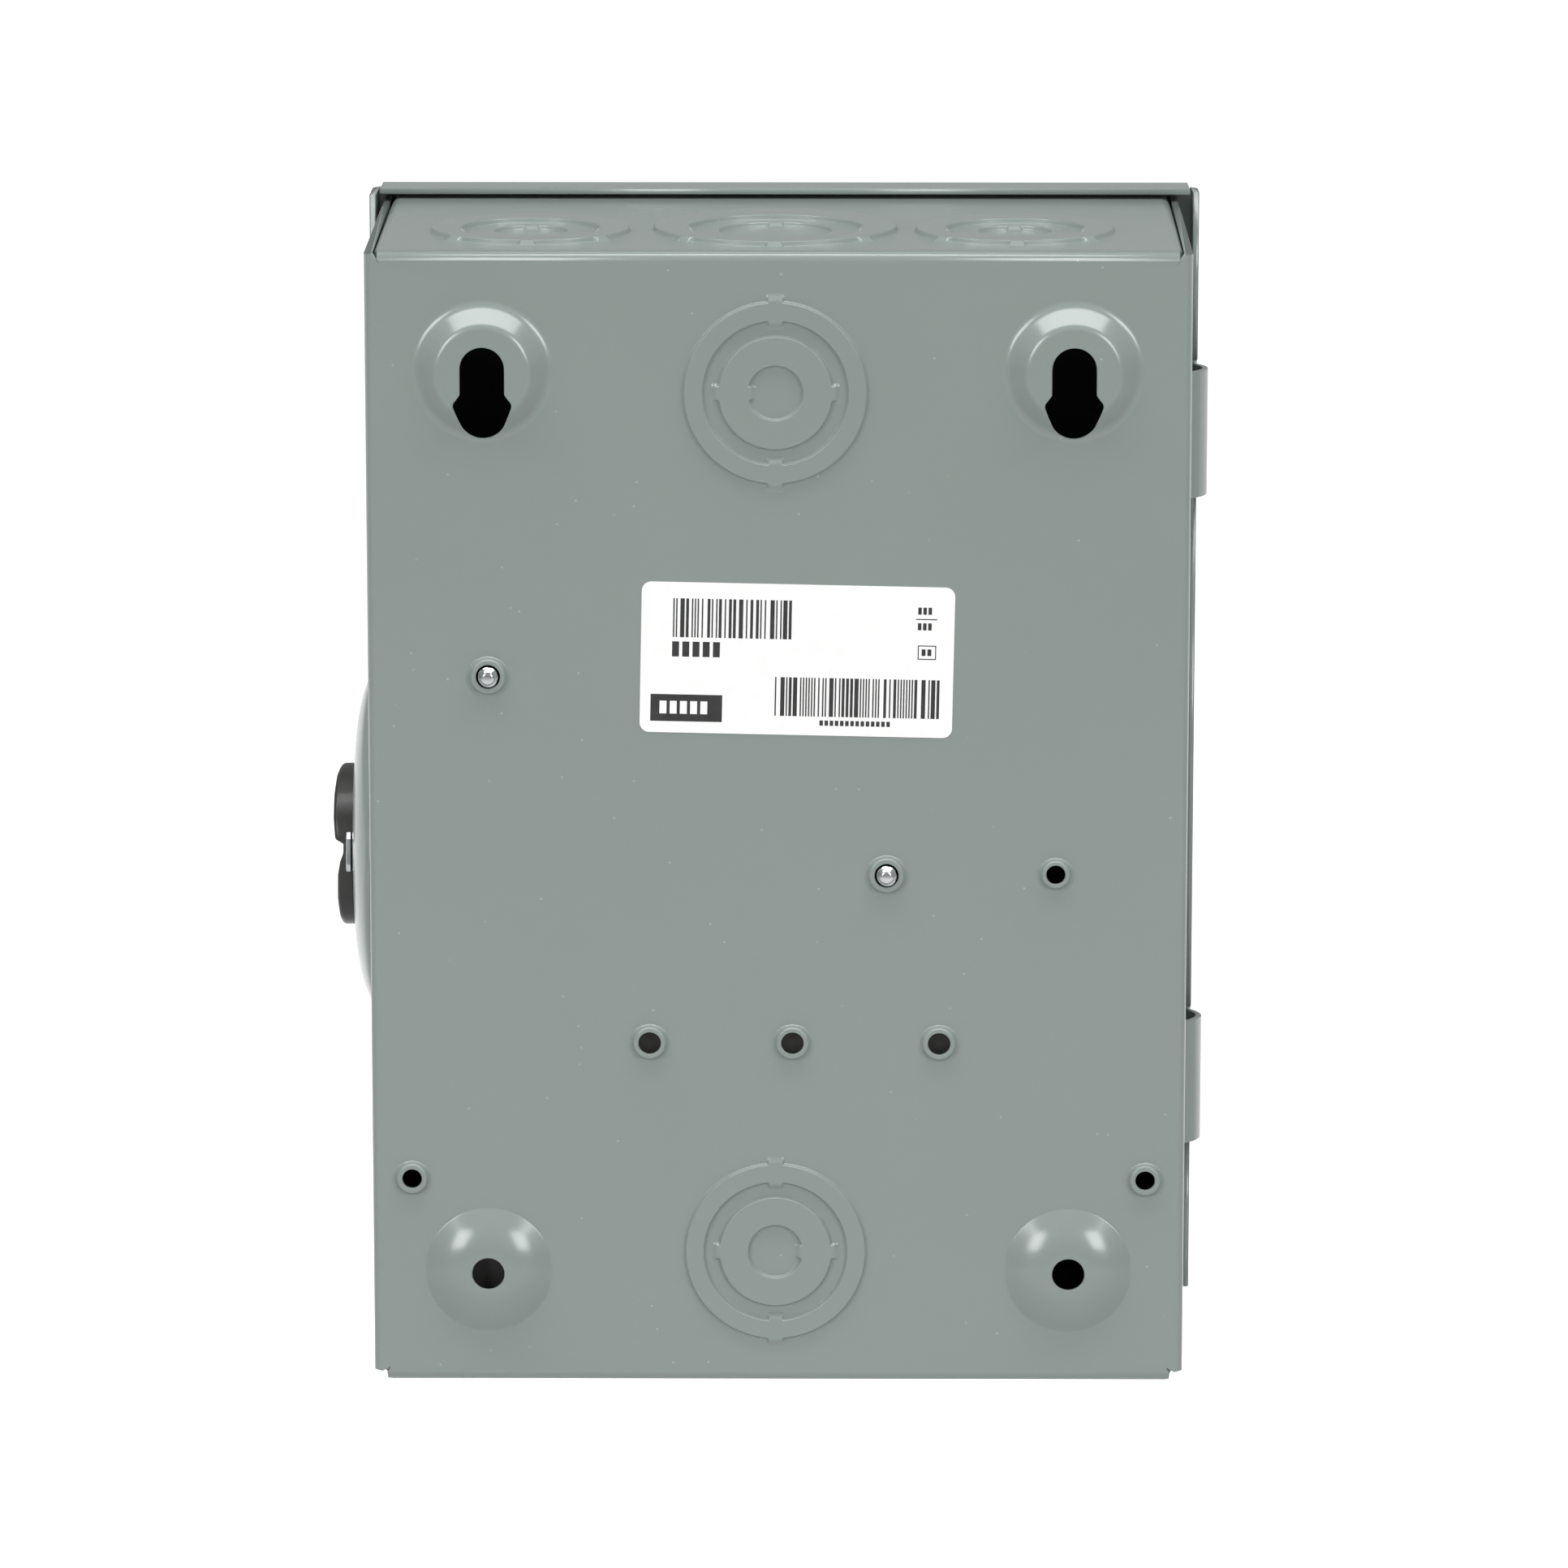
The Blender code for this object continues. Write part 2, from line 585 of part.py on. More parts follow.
def make_switch_base():
    rear = SHEET + GAP
    floor = block((-50.0, 66.0), (rear, FLOOR_TOP), (-106.0, 44.0))
    top = FLOOR_TOP - 1.0
    parts = [block((low, high), (top, RIB_TOP), (-33.0, 26.0)) for low, high in (RIBS[0], RIBS[2])]
    parts.append(block(RIBS[1], (top, RIB_TOP), (-106.0, 44.0)))
    parts.append(block((-7.0, 53.0), (top, TERMINAL_TOP), (14.0, 40.0)))
    parts.append(block((-7.0, 53.0), (top, PEDESTAL_TOP), (-56.0, -37.0)))
    parts.append(block((-7.0, 53.0), (top, PEDESTAL_TOP), (-104.0, -76.0)))
    parts.append(block((-47.0, -27.5), (top, TERMINAL_TOP), (-42.0, 30.0)))
    base = join(floor, *parts)
    seat = block((-30.0, 80.0), (PIVOT_D, RIB_TOP + 5.0), (PIVOT_Z - 6.0, PIVOT_Z + 6.0))
    bearing = rod("x", (PIVOT_D, PIVOT_Z), 6.0, (-30.0, 80.0), 20)
    holes = [rod("d", centre, 2.6, (0.0, 30.0), 12) for centre in BASE_SCREWS]
    holes += [rod("d", centre, 1.9, (5.0, 30.0), 12) for centre in BRACKET_SCREWS]
    add_object("switch_base", cut(base, seat, bearing, *holes), "moulding")
    for name, (low, high) in (("rotor_cap_left", RIBS[0]), ("rotor_cap_right", RIBS[2])):
        start = PIVOT_D + JOURNAL + 0.4
        add_object(name, block((low, high), (start, RIB_TOP - 0.5), (PIVOT_Z - 5.7, PIVOT_Z + 5.7)), "moulding")


def screw(name, axis, centre, head_at, shank_radius, shank_end, head_radius, head_height, material="zinc"):
    """Pan-head screw; the head's underside is at head_at and the shank runs to shank_end."""
    outward = math.copysign(1.0, head_at - shank_end)
    tip = shank_end + outward * shank_radius * 0.5
    profile = [(shank_end, 0), (shank_end, shank_radius * 0.6), (tip, shank_radius), (head_at, shank_radius),
               (head_at, head_radius), (head_at + outward * head_height * 0.6, head_radius),
               (head_at + outward * head_height, head_radius * 0.6), (head_at + outward * head_height, 0)]
    add_object(name, revolve(axis, centre, profile, 12), material)


def make_screws():
    for number, centre in enumerate(BASE_SCREWS, 1):
        screw(f"base_screw_{number}", "d", centre, FLOOR_TOP + GAP, 2.15, -2.2, 4.2, 2.6)
    for number, centre in enumerate(BRACKET_SCREWS, 1):
        screw(f"bracket_screw_{number}", "d", centre, BRACKET_TOP + GAP, 1.6, 7.0, 2.7, 1.8)


def lug(name, x, d_span, z_span, screw_name):
    """Box lug: a block with a wire hole and a clamping screw from the front."""
    centre_z = (z_span[0] + z_span[1]) / 2
    middle = (d_span[0] + d_span[1]) / 2 - 0.6
    body = block((x - 6.0, x + 6.0), d_span, z_span)
    wire = rod("z", (x, middle), 3.6, (z_span[0] - 2, z_span[1] + 2), 14)
    thread = rod("d", (x, centre_z), 3.3, (middle, d_span[1] + 2), 14)
    add_object(name, cut(body, wire, thread), "tin")
    set_screw(screw_name, (x, centre_z), d_span[1])


def set_screw(name, centre, face):
    """Slotted clamping screw standing a little out of the lug's face."""
    body = rod("d", centre, 2.95, (face - 3.0, face + 2.0), 12)
    x, z = centre
    slot = block((x - 5.0, x + 5.0), (face + 1.0, face + 3.0), (z - 0.5, z + 0.5))
    add_object(name, cut(body, slot), "zinc")


def fuse_clip(x, z_span):
    """Spring clip: an open ring in the (x, d) plane."""
    centre = (x, FUSE_D)
    outer = arc(centre, FUSE_RADIUS + 1.35, 150.0, 390.0, 14)
    inner = arc(centre, FUSE_RADIUS + 0.35, 390.0, 150.0, 14)
    return prism("z", outer + inner, z_span)


def make_pole(number, x):
    """Everything that one pole carries between its line lug and its load lug."""
    blade_gap = 0.8 + GAP
    ear = 1.2
    pad = block((x - 6.0, x + 6.0), (TERMINAL_TOP + GAP, 29.9), (1.0, 38.0))
    ears = [block((x + s - ear / 2, x + s + ear / 2), (29.0, 46.0), (1.0, 12.0))
            for s in (-blade_gap - ear / 2, blade_gap + ear / 2)]
    add_object(f"line_jaw_{number}", join(pad, *ears), "copper")
    lug(f"line_lug_{number}", x, (30.2, 43.0), (20.0, 34.0), f"line_lug_screw_{number}")

    foot = block((x - 6.0, x + 6.0), (PEDESTAL_TOP + GAP, 24.0), (-54.0, -37.3))
    web = block((x - 6.0, x + 6.0), (PEDESTAL_TOP + GAP, 46.0), (-37.4, -35.8))
    ears = [block((x + s - ear / 2, x + s + ear / 2), (33.0, 46.0), (-36.5, -24.0))
            for s in (-blade_gap - ear / 2, blade_gap + ear / 2)]
    clip = fuse_clip(x, (FUSE_TOP - 12.0, FUSE_TOP - 2.0))
    add_object(f"load_jaw_{number}", join(foot, web, *ears, clip), "copper")

    bottom = FUSE_TOP - FUSE_LENGTH
    foot = block((x - 6.0, x + 6.0), (PEDESTAL_TOP + GAP, 24.0), (-103.0, -77.0))
    clip = fuse_clip(x, (bottom + 2.0, bottom + 12.0))
    add_object(f"load_clip_{number}", join(foot, clip), "copper")
    lug(f"load_lug_{number}", x, (24.3, 36.5), (-103.0, -91.0), f"load_lug_screw_{number}")

    spans = {"cap_top": (FUSE_TOP - FERRULE, FUSE_TOP), "cap_bottom": (bottom, bottom + FERRULE),
             "tube": (bottom + FERRULE + GAP, FUSE_TOP - FERRULE - GAP)}
    for piece, span in spans.items():
        radius = FUSE_RADIUS - 0.45 if piece == "tube" else FUSE_RADIUS
        look = "fuse_tube" if piece == "tube" else "copper"
        add_object(f"fuse_{number}_{piece}", rod("z", (x, FUSE_D), radius, span, 20), look)


def make_neutral():
    bar = block((-41.0, -31.0), (TERMINAL_TOP + GAP, 40.0), (-38.0, 26.0))
    holes = []
    for z in NEUTRAL_SCREW_Z:
        holes.append(rod("x", (33.5, z), 3.3, (-45.0, -25.0), 12))
        holes.append(rod("d", (-36.0, z), 3.3, (33.5, 45.0), 14))
    add_object("neutral_bar", cut(bar, *holes), "tin")
    for number, z in enumerate(NEUTRAL_SCREW_Z, 1):
        set_screw(f"neutral_screw_{number}", (-36.0, z), 40.0)


def make_line_shield():
    """Fibre shield over the line terminals, standing on two legs beside the base's ribs."""
    top = RIB_TOP + GAP
    legs = [(-19.5, FLOOR_TOP + GAP), (-18.3, FLOOR_TOP + GAP), (-18.3, top), (61.3, top), (61.3, FLOOR_TOP + GAP),
            (62.5, FLOOR_TOP + GAP), (62.5, top + 1.2), (-19.5, top + 1.2)]
    add_object("line_shield", prism("z", legs, (14.5, 26.0)), "fibre")


# ---- what turns: crossbar with blades, shaft, handle --------------------------------------------
BRACKET_TOP = FLOOR_TOP + GAP + 1.5
SHAFT_RADIUS = 4.5
PIVOT = (0.0, PIVOT_D, PIVOT_Z)


def turned(mesh, degrees):
    """Turns mesh data about the pivot axis, from up (+Z) towards the front."""
    centre = place(*PIVOT)
    turn = Matrix.Rotation(math.radians(degrees), 4, "X")
    mesh.transform(Matrix.Translation(centre) @ turn @ Matrix.Translation(-centre))
    return mesh


def make_rotor():
    centre = (PIVOT_D, PIVOT_Z)
    bar = rod("x", centre, JOURNAL, (-17.0, 61.6), 20)
    carriers = [rod("x", centre, 9.0, (x - 6.0, x + 6.0), 20) for x in POLES]
    windows = []
    for number, x in enumerate(POLES, 1):
        window = block((x - 1.1, x + 1.1), (PIVOT_D - 5.8, PIVOT_D + 5.8), (PIVOT_Z - 15.0, PIVOT_Z + 15.0))
        windows.append(turned(window, BLADE_OPEN))
        half = BLADE_HALF
        outline = [(PIVOT_D - 5.5, PIVOT_Z - half), (PIVOT_D + 4.0, PIVOT_Z - half), (PIVOT_D + 5.5, PIVOT_Z - half + 2.0),
                   (PIVOT_D + 5.5, PIVOT_Z + half), (PIVOT_D - 4.0, PIVOT_Z + half),
                   (PIVOT_D - 5.5, PIVOT_Z + half - 2.0)]
        blade = turned(prism("x", outline, (x - 0.8, x + 0.8)), BLADE_OPEN)
        add_object(f"blade_{number}", blade, "copper", PIVOT)
    add_object("crossbar", cut(join(bar, *carriers), *windows), "crossbar_red", PIVOT)


def make_drive():
    """Shaft through the side wall, its crank with the interlock finger, the spring and the bracket."""
    centre = (PIVOT_D, PIVOT_Z)
    add_object("handle_shaft", rod("x", centre, SHAFT_RADIUS, (62.2, 91.9), 20), "zinc", PIVOT)
    hub = rod("x", centre, 9.0, (63.0, 66.5), 24)
    arm = block((63.0, 66.5), (PIVOT_D + 5.0, PIVOT_D + 27.5), (PIVOT_Z - 6.5, PIVOT_Z - 0.5))
    outer = arc(centre, 28.0, -12.0, 22.0, 6)
    inner = arc(centre, 24.0, 22.0, -12.0, 6)
    finger = prism("x", outer + inner, (63.0, 66.5))
    pin = rod("x", (PIVOT_D + 14.0, PIVOT_Z - 3.5), 1.6, (66.0, 70.5), 10)
    crank = cut(join(hub, arm, finger, pin), rod("x", centre, SHAFT_RADIUS + 0.2, (50.0, 80.0), 20))
    add_object("drive_crank", turned(crank, BLADE_OPEN), "zinc", PIVOT)

    profile = [(61.0, FLOOR_TOP + GAP), (75.0, FLOOR_TOP + GAP), (75.0, 62.0), (73.5, 62.0), (73.5, BRACKET_TOP),
               (61.0, BRACKET_TOP)]
    plate = prism("z", profile, (-33.0, 11.0))
    holes = [rod("x", centre, 5.0, (70.0, 80.0), 20)]
    holes += [rod("d", spot, 1.9, (10.0, 20.0), 12) for spot in BRACKET_SCREWS]
    add_object("mechanism_bracket", cut(plate, *holes), "zinc")

    ring = [(76.0, SHAFT_RADIUS + 0.2), (76.0, 7.0), (77.0, 7.0), (77.0, SHAFT_RADIUS + 0.2)]
    add_object("shaft_clip", tube("x", centre, ring), "zinc", PIVOT)
    wall = BOX_WIDTH / 2 + DOME_HEIGHT
    ring = [(wall - SHEET - 1.6, 4.8), (wall - SHEET - 1.6, 9.0), (wall - SHEET - GAP, 9.0), (wall - SHEET - GAP, 6.7),
            (wall + 0.15, 6.7), (wall + 0.15, 4.8)]
    add_object("shaft_bushing", tube("x", centre, ring), "nylon")
    make_spring()


def tube(axis, centre, profile, segments=20):
    """Turns a closed profile of (along, radius) points about an axis."""
    bm = bmesh.new()
    rings = []
    for along, radius in profile:
        rings.append([bm.verts.new(AXIS_PLACES[axis](along, *point)) for point in circle(centre, radius, segments)])
    for first, second in zip(rings, rings[1:] + rings[:1]):
        for index in range(segments):
            after = (index + 1) % segments
            bm.faces.new([first[index], first[after], second[after], second[index]])
    return finish_mesh(bm)


def make_spring():
    """Torsion spring wound round the shaft between crank and bracket."""
    per_turn = 12
    steps = 40
    wire = 0.7
    radius = 6.6
    left = 67.6
    right = 72.2
    path = [(left, -1.0, -15.0), (left, -0.6, -9.2)]
    for step in range(steps + 1):
        angle = math.radians(-75.0) + 2 * math.pi * step / per_turn
        path.append((left + (right - left) * step / steps, radius * math.cos(angle), radius * math.sin(angle)))
    path.append((right, -2.0, 13.0))
    points = [place(x, PIVOT_D + d, PIVOT_Z + z) for x, d, z in path]
    curve = bpy.data.curves.new("spring", "CURVE")
    curve.dimensions = "3D"
    curve.bevel_depth = wire * MM
    curve.bevel_resolution = 1
    curve.use_fill_caps = True
    spline = curve.splines.new("POLY")
    spline.points.add(len(points) - 1)
    for point, spot in zip(spline.points, points):
        point.co = (*spot, 1.0)
    item = bpy.data.objects.new("toggle_spring", curve)
    bpy.context.collection.objects.link(item)
    curve.materials.append(MATERIALS["zinc"])


HANDLE_BASE = BOX_WIDTH / 2 + DOME_HEIGHT + GAP
GRIP_Z = -12.6                # middle of the lever before it is turned
GRIP_HALF = 17.2
GRIP_END = 72.0               # depth of the grip's front end
HANDLE_LEAN = 11.5            # degrees that the lever dips towards the front


def make_handle():
    """Lever with two ribs and a groove between them, seen from the wall side as two lobes."""
    lower = GRIP_Z - GRIP_HALF
    upper = GRIP_Z + GRIP_HALF
    section = [(HANDLE_BASE, lower), (92.6, lower), (93.4, lower + 2.0), (93.6, -21.0), (93.3, -17.5), (92.2, -14.8),
               (92.2, -12.2), (94.0, -12.0), (94.3, -6.0), (94.2, 0.0), (94.0, 2.6), (93.0, upper),
               (HANDLE_BASE, upper)]
    bar = prism("d", section, (20.0, GRIP_END))
    plan = arc((PIVOT_D, GRIP_Z), GRIP_HALF - 0.01, 90.0, 270.0, 16)
    plan += arc((GRIP_END - 8.0, GRIP_Z - GRIP_HALF + 8.0), 7.9, -90.0, 0.0, 4)
    plan += arc((GRIP_END - 8.0, GRIP_Z + GRIP_HALF - 8.0), 7.9, 0.0, 90.0, 4)
    lever = combine(bar, [prism("x", plan, (80.0, 100.0))], "INTERSECT")
    socket = rod("x", (PIVOT_D, PIVOT_Z), SHAFT_RADIUS + 0.2, (80.0, 100.0), 20)
    channel = block((80.0, 91.7), (15.0, 34.0), (-18.7, -9.7))
    add_object("handle", turned(cut(lever, socket, channel), HANDLE_LEAN), "handle_black", PIVOT)
    plan = [(21.0, -18.4), (33.0, -18.4), (33.0, -10.0), (21.0, -10.0), (20.0, -11.5), (20.0, -16.9)]
    tab = prism("x", plan, (HANDLE_BASE + 0.1, 91.4))
    hole = rod("x", (25.5, -14.2), 2.6, (80.0, 100.0), 14)
    add_object("lock_tab", turned(cut(tab, hole), HANDLE_LEAN), "zinc", (91.0, 27.0, -14.2))


def make_back_label():
    label = block((-36.4, 28.6), (-GAP - 0.3, -GAP), (19.0, 50.8))
    add_object("back_label", label, "paper")


def main():
    for item in list(bpy.data.objects):
        bpy.data.objects.remove(item)
    for name, look in LOOKS.items():
        MATERIALS[name] = make_material(name, *look)
    make_enclosure()
    make_back_label()
    make_cover()
    make_cover_fittings()
    make_switch_base()
    make_screws()
    for number, x in enumerate(POLES, 1):
        make_pole(number, x)
    make_neutral()
    make_line_shield()
    make_rotor()
    make_drive()
    make_handle()


main()
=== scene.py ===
"""AC disconnect box seen from the wall side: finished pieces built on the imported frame."""
import json
import math

import bpy
import numpy as np
from mathutils import Matrix, Vector
from mathutils.geometry import delaunay_2d_cdt

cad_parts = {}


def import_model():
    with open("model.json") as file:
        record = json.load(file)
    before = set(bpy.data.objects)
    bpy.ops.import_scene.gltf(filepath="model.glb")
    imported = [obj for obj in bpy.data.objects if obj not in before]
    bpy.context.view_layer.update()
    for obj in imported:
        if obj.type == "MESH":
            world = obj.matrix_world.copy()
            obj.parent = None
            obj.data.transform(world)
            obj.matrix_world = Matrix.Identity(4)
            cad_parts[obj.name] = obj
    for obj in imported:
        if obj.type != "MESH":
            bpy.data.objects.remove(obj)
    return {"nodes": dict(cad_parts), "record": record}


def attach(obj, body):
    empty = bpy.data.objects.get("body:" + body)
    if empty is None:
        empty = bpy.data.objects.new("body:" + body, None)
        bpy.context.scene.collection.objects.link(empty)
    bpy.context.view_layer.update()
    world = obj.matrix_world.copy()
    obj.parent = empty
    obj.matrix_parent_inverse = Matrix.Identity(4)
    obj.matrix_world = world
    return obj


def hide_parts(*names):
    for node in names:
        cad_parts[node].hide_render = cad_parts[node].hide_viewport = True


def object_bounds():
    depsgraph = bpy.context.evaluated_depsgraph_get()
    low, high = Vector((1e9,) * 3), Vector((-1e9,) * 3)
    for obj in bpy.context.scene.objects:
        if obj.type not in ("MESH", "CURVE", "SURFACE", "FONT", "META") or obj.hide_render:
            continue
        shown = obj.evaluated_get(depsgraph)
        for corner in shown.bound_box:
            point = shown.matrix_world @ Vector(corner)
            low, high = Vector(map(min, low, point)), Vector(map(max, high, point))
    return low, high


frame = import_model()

CAD_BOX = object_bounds()
MM = 0.001

# ---- dimensions in millimetres, the same as in the CAD source ----------------------------------
# A place is (x, d, z): the depth d runs from the back sheet's outer face towards the cover.
BOX_WIDTH = 170.8
BOX_HEIGHT = 240.8
BOX_FRONT = 88.5                  # depth of the box's front edges
SHEET = 1.4                       # sheet thickness of box and cover
BEND = 2.0                        # outer bend radius of the box
BOSS_HEIGHT = 4.0
GAP = 0.3                         # clearance between pieces that touch
COVER_FACE = 91.25                # depth of the cover's outer face
COVER_REAR = 76.65                # depth of the rear edges of the cover's flanges
COVER_TOP_REAR = 80.0             # the same for the upper flange
COVER_HINGE_REAR = 82.0           # the same for the short flange on the hinge side
COVER_TOP = 122.75                # half height over the cover
COVER_RIGHT = 88.3                # outer face of the flange on the handle side (+X)
COVER_LEFT = 90.0                 # outer face of the flange on the hinge side (-X)
COVER_BEND = 1.6                  # outer bend radius of the cover
HINGE_X = -(BOX_WIDTH / 2 - SHEET / 2)
HINGE_D = 80.0
HOOK_RADIUS = 7.5                 # outer radius of the cover's hinge hooks
HOOK_SPANS = ((-86.8, -59.6), (56.5, 83.8))
HOOK_START = 135.0                # degrees; 90 points to the front, 180 outwards
HOOK_END = 302.0
PIVOT_D = 39.5
PIVOT_Z = -11.0
DOME_HEIGHT = 4.6                 # round pressing of the side wall under the handle
SHAFT_HOLE = 7.0
KEYHOLES = ((-61.0, 95.5), (61.0, 95.5))
DIMPLES = ((-61.0, -96.0), (61.0, -96.0))
DIMPLE_HOLE = 3.35
BACK_KNOCKOUTS = ((0.6, 91.0, 0.0), (0.6, -91.9, 180.0))   # (x, z, angle of the innermost bridge)
SIDE_KNOCKOUT_D = 40.0
SIDE_KNOCKOUT_Z = -78.0
EYELETS = (                       # (x, z, hole radius, collar radius)
    (26.96, -46.7, 2.3, 3.3),
    (-2.96, -46.7, 2.3, 3.3),
    (-33.7, -46.8, 2.3, 3.3),
    (-57.9, -10.5, 1.95, 2.85),
    (77.0, -76.1, 2.0, 3.1),
    (-77.1, -76.3, 2.0, 3.1),
    (60.3, 31.45, 2.45, 3.55),
    (-22.6, -10.7, 2.45, 3.55),
)
BASE_SCREWS = ((60.3, 31.45), (-22.6, -10.7))


# ---- shader helpers ----------------------------------------------------------------------------
class Shader:
    """A Principled material whose inputs are fed by small procedural graphs."""

    def __init__(self, name, color, roughness, metallic=0.0, specular=0.5):
        self.material = bpy.data.materials.new(name)
        self.material.use_nodes = True
        self.nodes = self.material.node_tree.nodes
        self.links = self.material.node_tree.links
        self.surface = self.nodes["Principled BSDF"]
        self.surface.inputs["Metallic"].default_value = metallic
        self.surface.inputs["Specular IOR Level"].default_value = specular
        self.surface.inputs["Roughness"].default_value = roughness
        self.surface.inputs["Base Color"].default_value = (*color, 1.0)
        self.place = self.nodes.new("ShaderNodeTexCoord").outputs["Object"]

    def mapped(self, scale, turn=(0.0, 0.0, 0.0)):
        mapping = self.nodes.new("ShaderNodeMapping")
        mapping.inputs["Scale"].default_value = scale
        mapping.inputs["Rotation"].default_value = turn
        self.links.new(self.place, mapping.inputs["Vector"])
        return mapping.outputs["Vector"]

    def noise(self, scale, detail=2.0, vector=None):
        node = self.nodes.new("ShaderNodeTexNoise")
        node.inputs["Scale"].default_value = scale
        node.inputs["Detail"].default_value = detail
        self.links.new(vector or self.place, node.inputs["Vector"])
        return node.outputs["Fac"]

    def cells(self, scale, vector=None, output="Distance"):
        node = self.nodes.new("ShaderNodeTexVoronoi")
        node.inputs["Scale"].default_value = scale
        self.links.new(vector or self.place, node.inputs["Vector"])
        return node.outputs[output]

    def ramp(self, value, low, high, first, last):
        """Maps low..high of value to first..last, which are numbers, with clamping."""
        node = self.nodes.new("ShaderNodeMapRange")
        limits = {"From Min": low, "From Max": high, "To Min": first, "To Max": last}
        for name, number in limits.items():
            node.inputs[name].default_value = number
        self.links.new(value, node.inputs["Value"])
        return node.outputs["Result"]

    def multiply(self, first, second):
        node = self.nodes.new("ShaderNodeMath")
        node.operation = "MULTIPLY"
        self.links.new(first, node.inputs[0])
        self.links.new(second, node.inputs[1])
        return node.outputs["Value"]

    def mix(self, share, first, second):
        """Mixes two colours by share; first may be a colour or the output of another mix."""
        node = self.nodes.new("ShaderNodeMix")
        node.data_type = "RGBA"
        self.links.new(share, node.inputs["Factor"])
        for value, socket in ((first, node.inputs[6]), (second, node.inputs[7])):
            if isinstance(value, tuple):
                socket.default_value = (*value, 1.0)
            else:
                self.links.new(value, socket)
        return node.outputs[2]

    def color(self, output):
        self.links.new(output, self.surface.inputs["Base Color"])

    def roughness(self, output):
        self.links.new(output, self.surface.inputs["Roughness"])

    def bump(self, *layers):
        """Stacks bump layers, each (height output, depth in millimetres)."""
        normal = None
        for height, depth in layers:
            node = self.nodes.new("ShaderNodeBump")
            node.inputs["Distance"].default_value = depth * MM
            self.links.new(height, node.inputs["Height"])
            if normal:
                self.links.new(normal, node.inputs["Normal"])
            normal = node.outputs["Normal"]
        self.links.new(normal, self.surface.inputs["Normal"])


def paint_material():
    """Baked grey enamel: orange peel, specks of dust in the film and a few light scuffs."""
    dark, light = (0.212, 0.252, 0.236), (0.228, 0.270, 0.253)
    dust, scuff = (0.40, 0.44, 0.42), (0.42, 0.45, 0.43)
    dust_cells = 260.0
    shader = Shader("grey_enamel", (0.22, 0.27, 0.25), 0.16, specular=0.7)
    tone = shader.ramp(shader.noise(14.0, 3.0), 0.0, 1.0, 0.0, 1.0)
    body = shader.mix(tone, dark, light)
    speck = shader.ramp(shader.cells(dust_cells), 0.04, 0.07, 1.0, 0.0)
    chosen = shader.ramp(shader.cells(dust_cells, output="Color"), 0.84, 0.86, 0.0, 0.6)
    body = shader.mix(shader.multiply(speck, chosen), body, dust)
    streaks = shader.mapped((60.0, 60.0, 16.0), (0.0, 0.25, 0.0))
    scratch = shader.ramp(shader.cells(1.0, streaks), 0.02, 0.045, 1.0, 0.0)
    rare = shader.ramp(shader.cells(1.0, streaks, "Color"), 0.80, 0.84, 0.0, 0.6)
    body = shader.mix(shader.multiply(scratch, rare), body, scuff)
    shader.color(body)
    shader.roughness(shader.ramp(shader.noise(40.0, 3.0), 0.0, 1.0, 0.17, 0.25))
    shader.bump((shader.noise(300.0, 1.0), 0.004), (shader.noise(30.0, 0.0), 0.03))
    return shader.material


def plain_material(name, dark, light, grain, roughness, bump):
    """A material with two tones mixed by grain noise, uneven gloss and a fine bump."""
    shader = Shader(name, light, roughness)
    tone = shader.ramp(shader.noise(grain, 4.0), 0.3, 0.7, 0.0, 1.0)
    shader.color(shader.mix(tone, dark, light))
    gloss = shader.noise(grain * 2.3, 3.0)
    shader.roughness(shader.ramp(gloss, 0.3, 0.7, roughness * 0.85, roughness * 1.2))
    shader.bump((shader.noise(grain * 6.0, 2.0), bump))
    return shader.material


def brushed_material(name, dark, light, roughness, direction):
    """Rolled or drawn metal: fine streaks along one direction."""
    shader = Shader(name, light, roughness, 1.0)
    streaks = shader.noise(1.0, 3.0, shader.mapped(direction))
    tone = shader.ramp(streaks, 0.25, 0.75, 0.0, 1.0)
    stain = shader.ramp(shader.noise(60.0, 3.0), 0.45, 0.75, 0.0, 0.6)
    shader.color(shader.mix(stain, shader.mix(tone, dark, light), dark))
    shader.roughness(shader.ramp(streaks, 0.25, 0.75, roughness * 0.8, roughness * 1.3))
    shader.bump((streaks, 0.012))
    return shader.material


ALONG_Z = (900.0, 900.0, 60.0)
ALONG_X = (60.0, 900.0, 900.0)
PLAIN_FINISHES = {                # darker and lighter tone, grain, roughness and bump depth
    "label_paper": ((0.84, 0.84, 0.835), (0.87, 0.87, 0.865), 400.0, 0.42, 0.004),
    "label_ink": ((0.018, 0.018, 0.018), (0.03, 0.03, 0.03), 300.0, 0.50, 0.002),
    "black_moulding": ((0.020, 0.020, 0.019), (0.034, 0.033, 0.031), 90.0, 0.36, 0.03),
    "base_moulding": ((0.022, 0.021, 0.020), (0.040, 0.038, 0.036), 150.0, 0.55, 0.05),
    "crossbar_moulding": ((0.20, 0.030, 0.018), (0.30, 0.05, 0.03), 150.0, 0.5, 0.05),
    "fibre_sheet": ((0.040, 0.040, 0.044), (0.070, 0.069, 0.072), 400.0, 0.65, 0.04),
    "fuse_tube": ((0.50, 0.43, 0.31), (0.62, 0.55, 0.42), 260.0, 0.60, 0.03),
    "nylon": ((0.78, 0.76, 0.70), (0.86, 0.85, 0.81), 100.0, 0.42, 0.02),
}
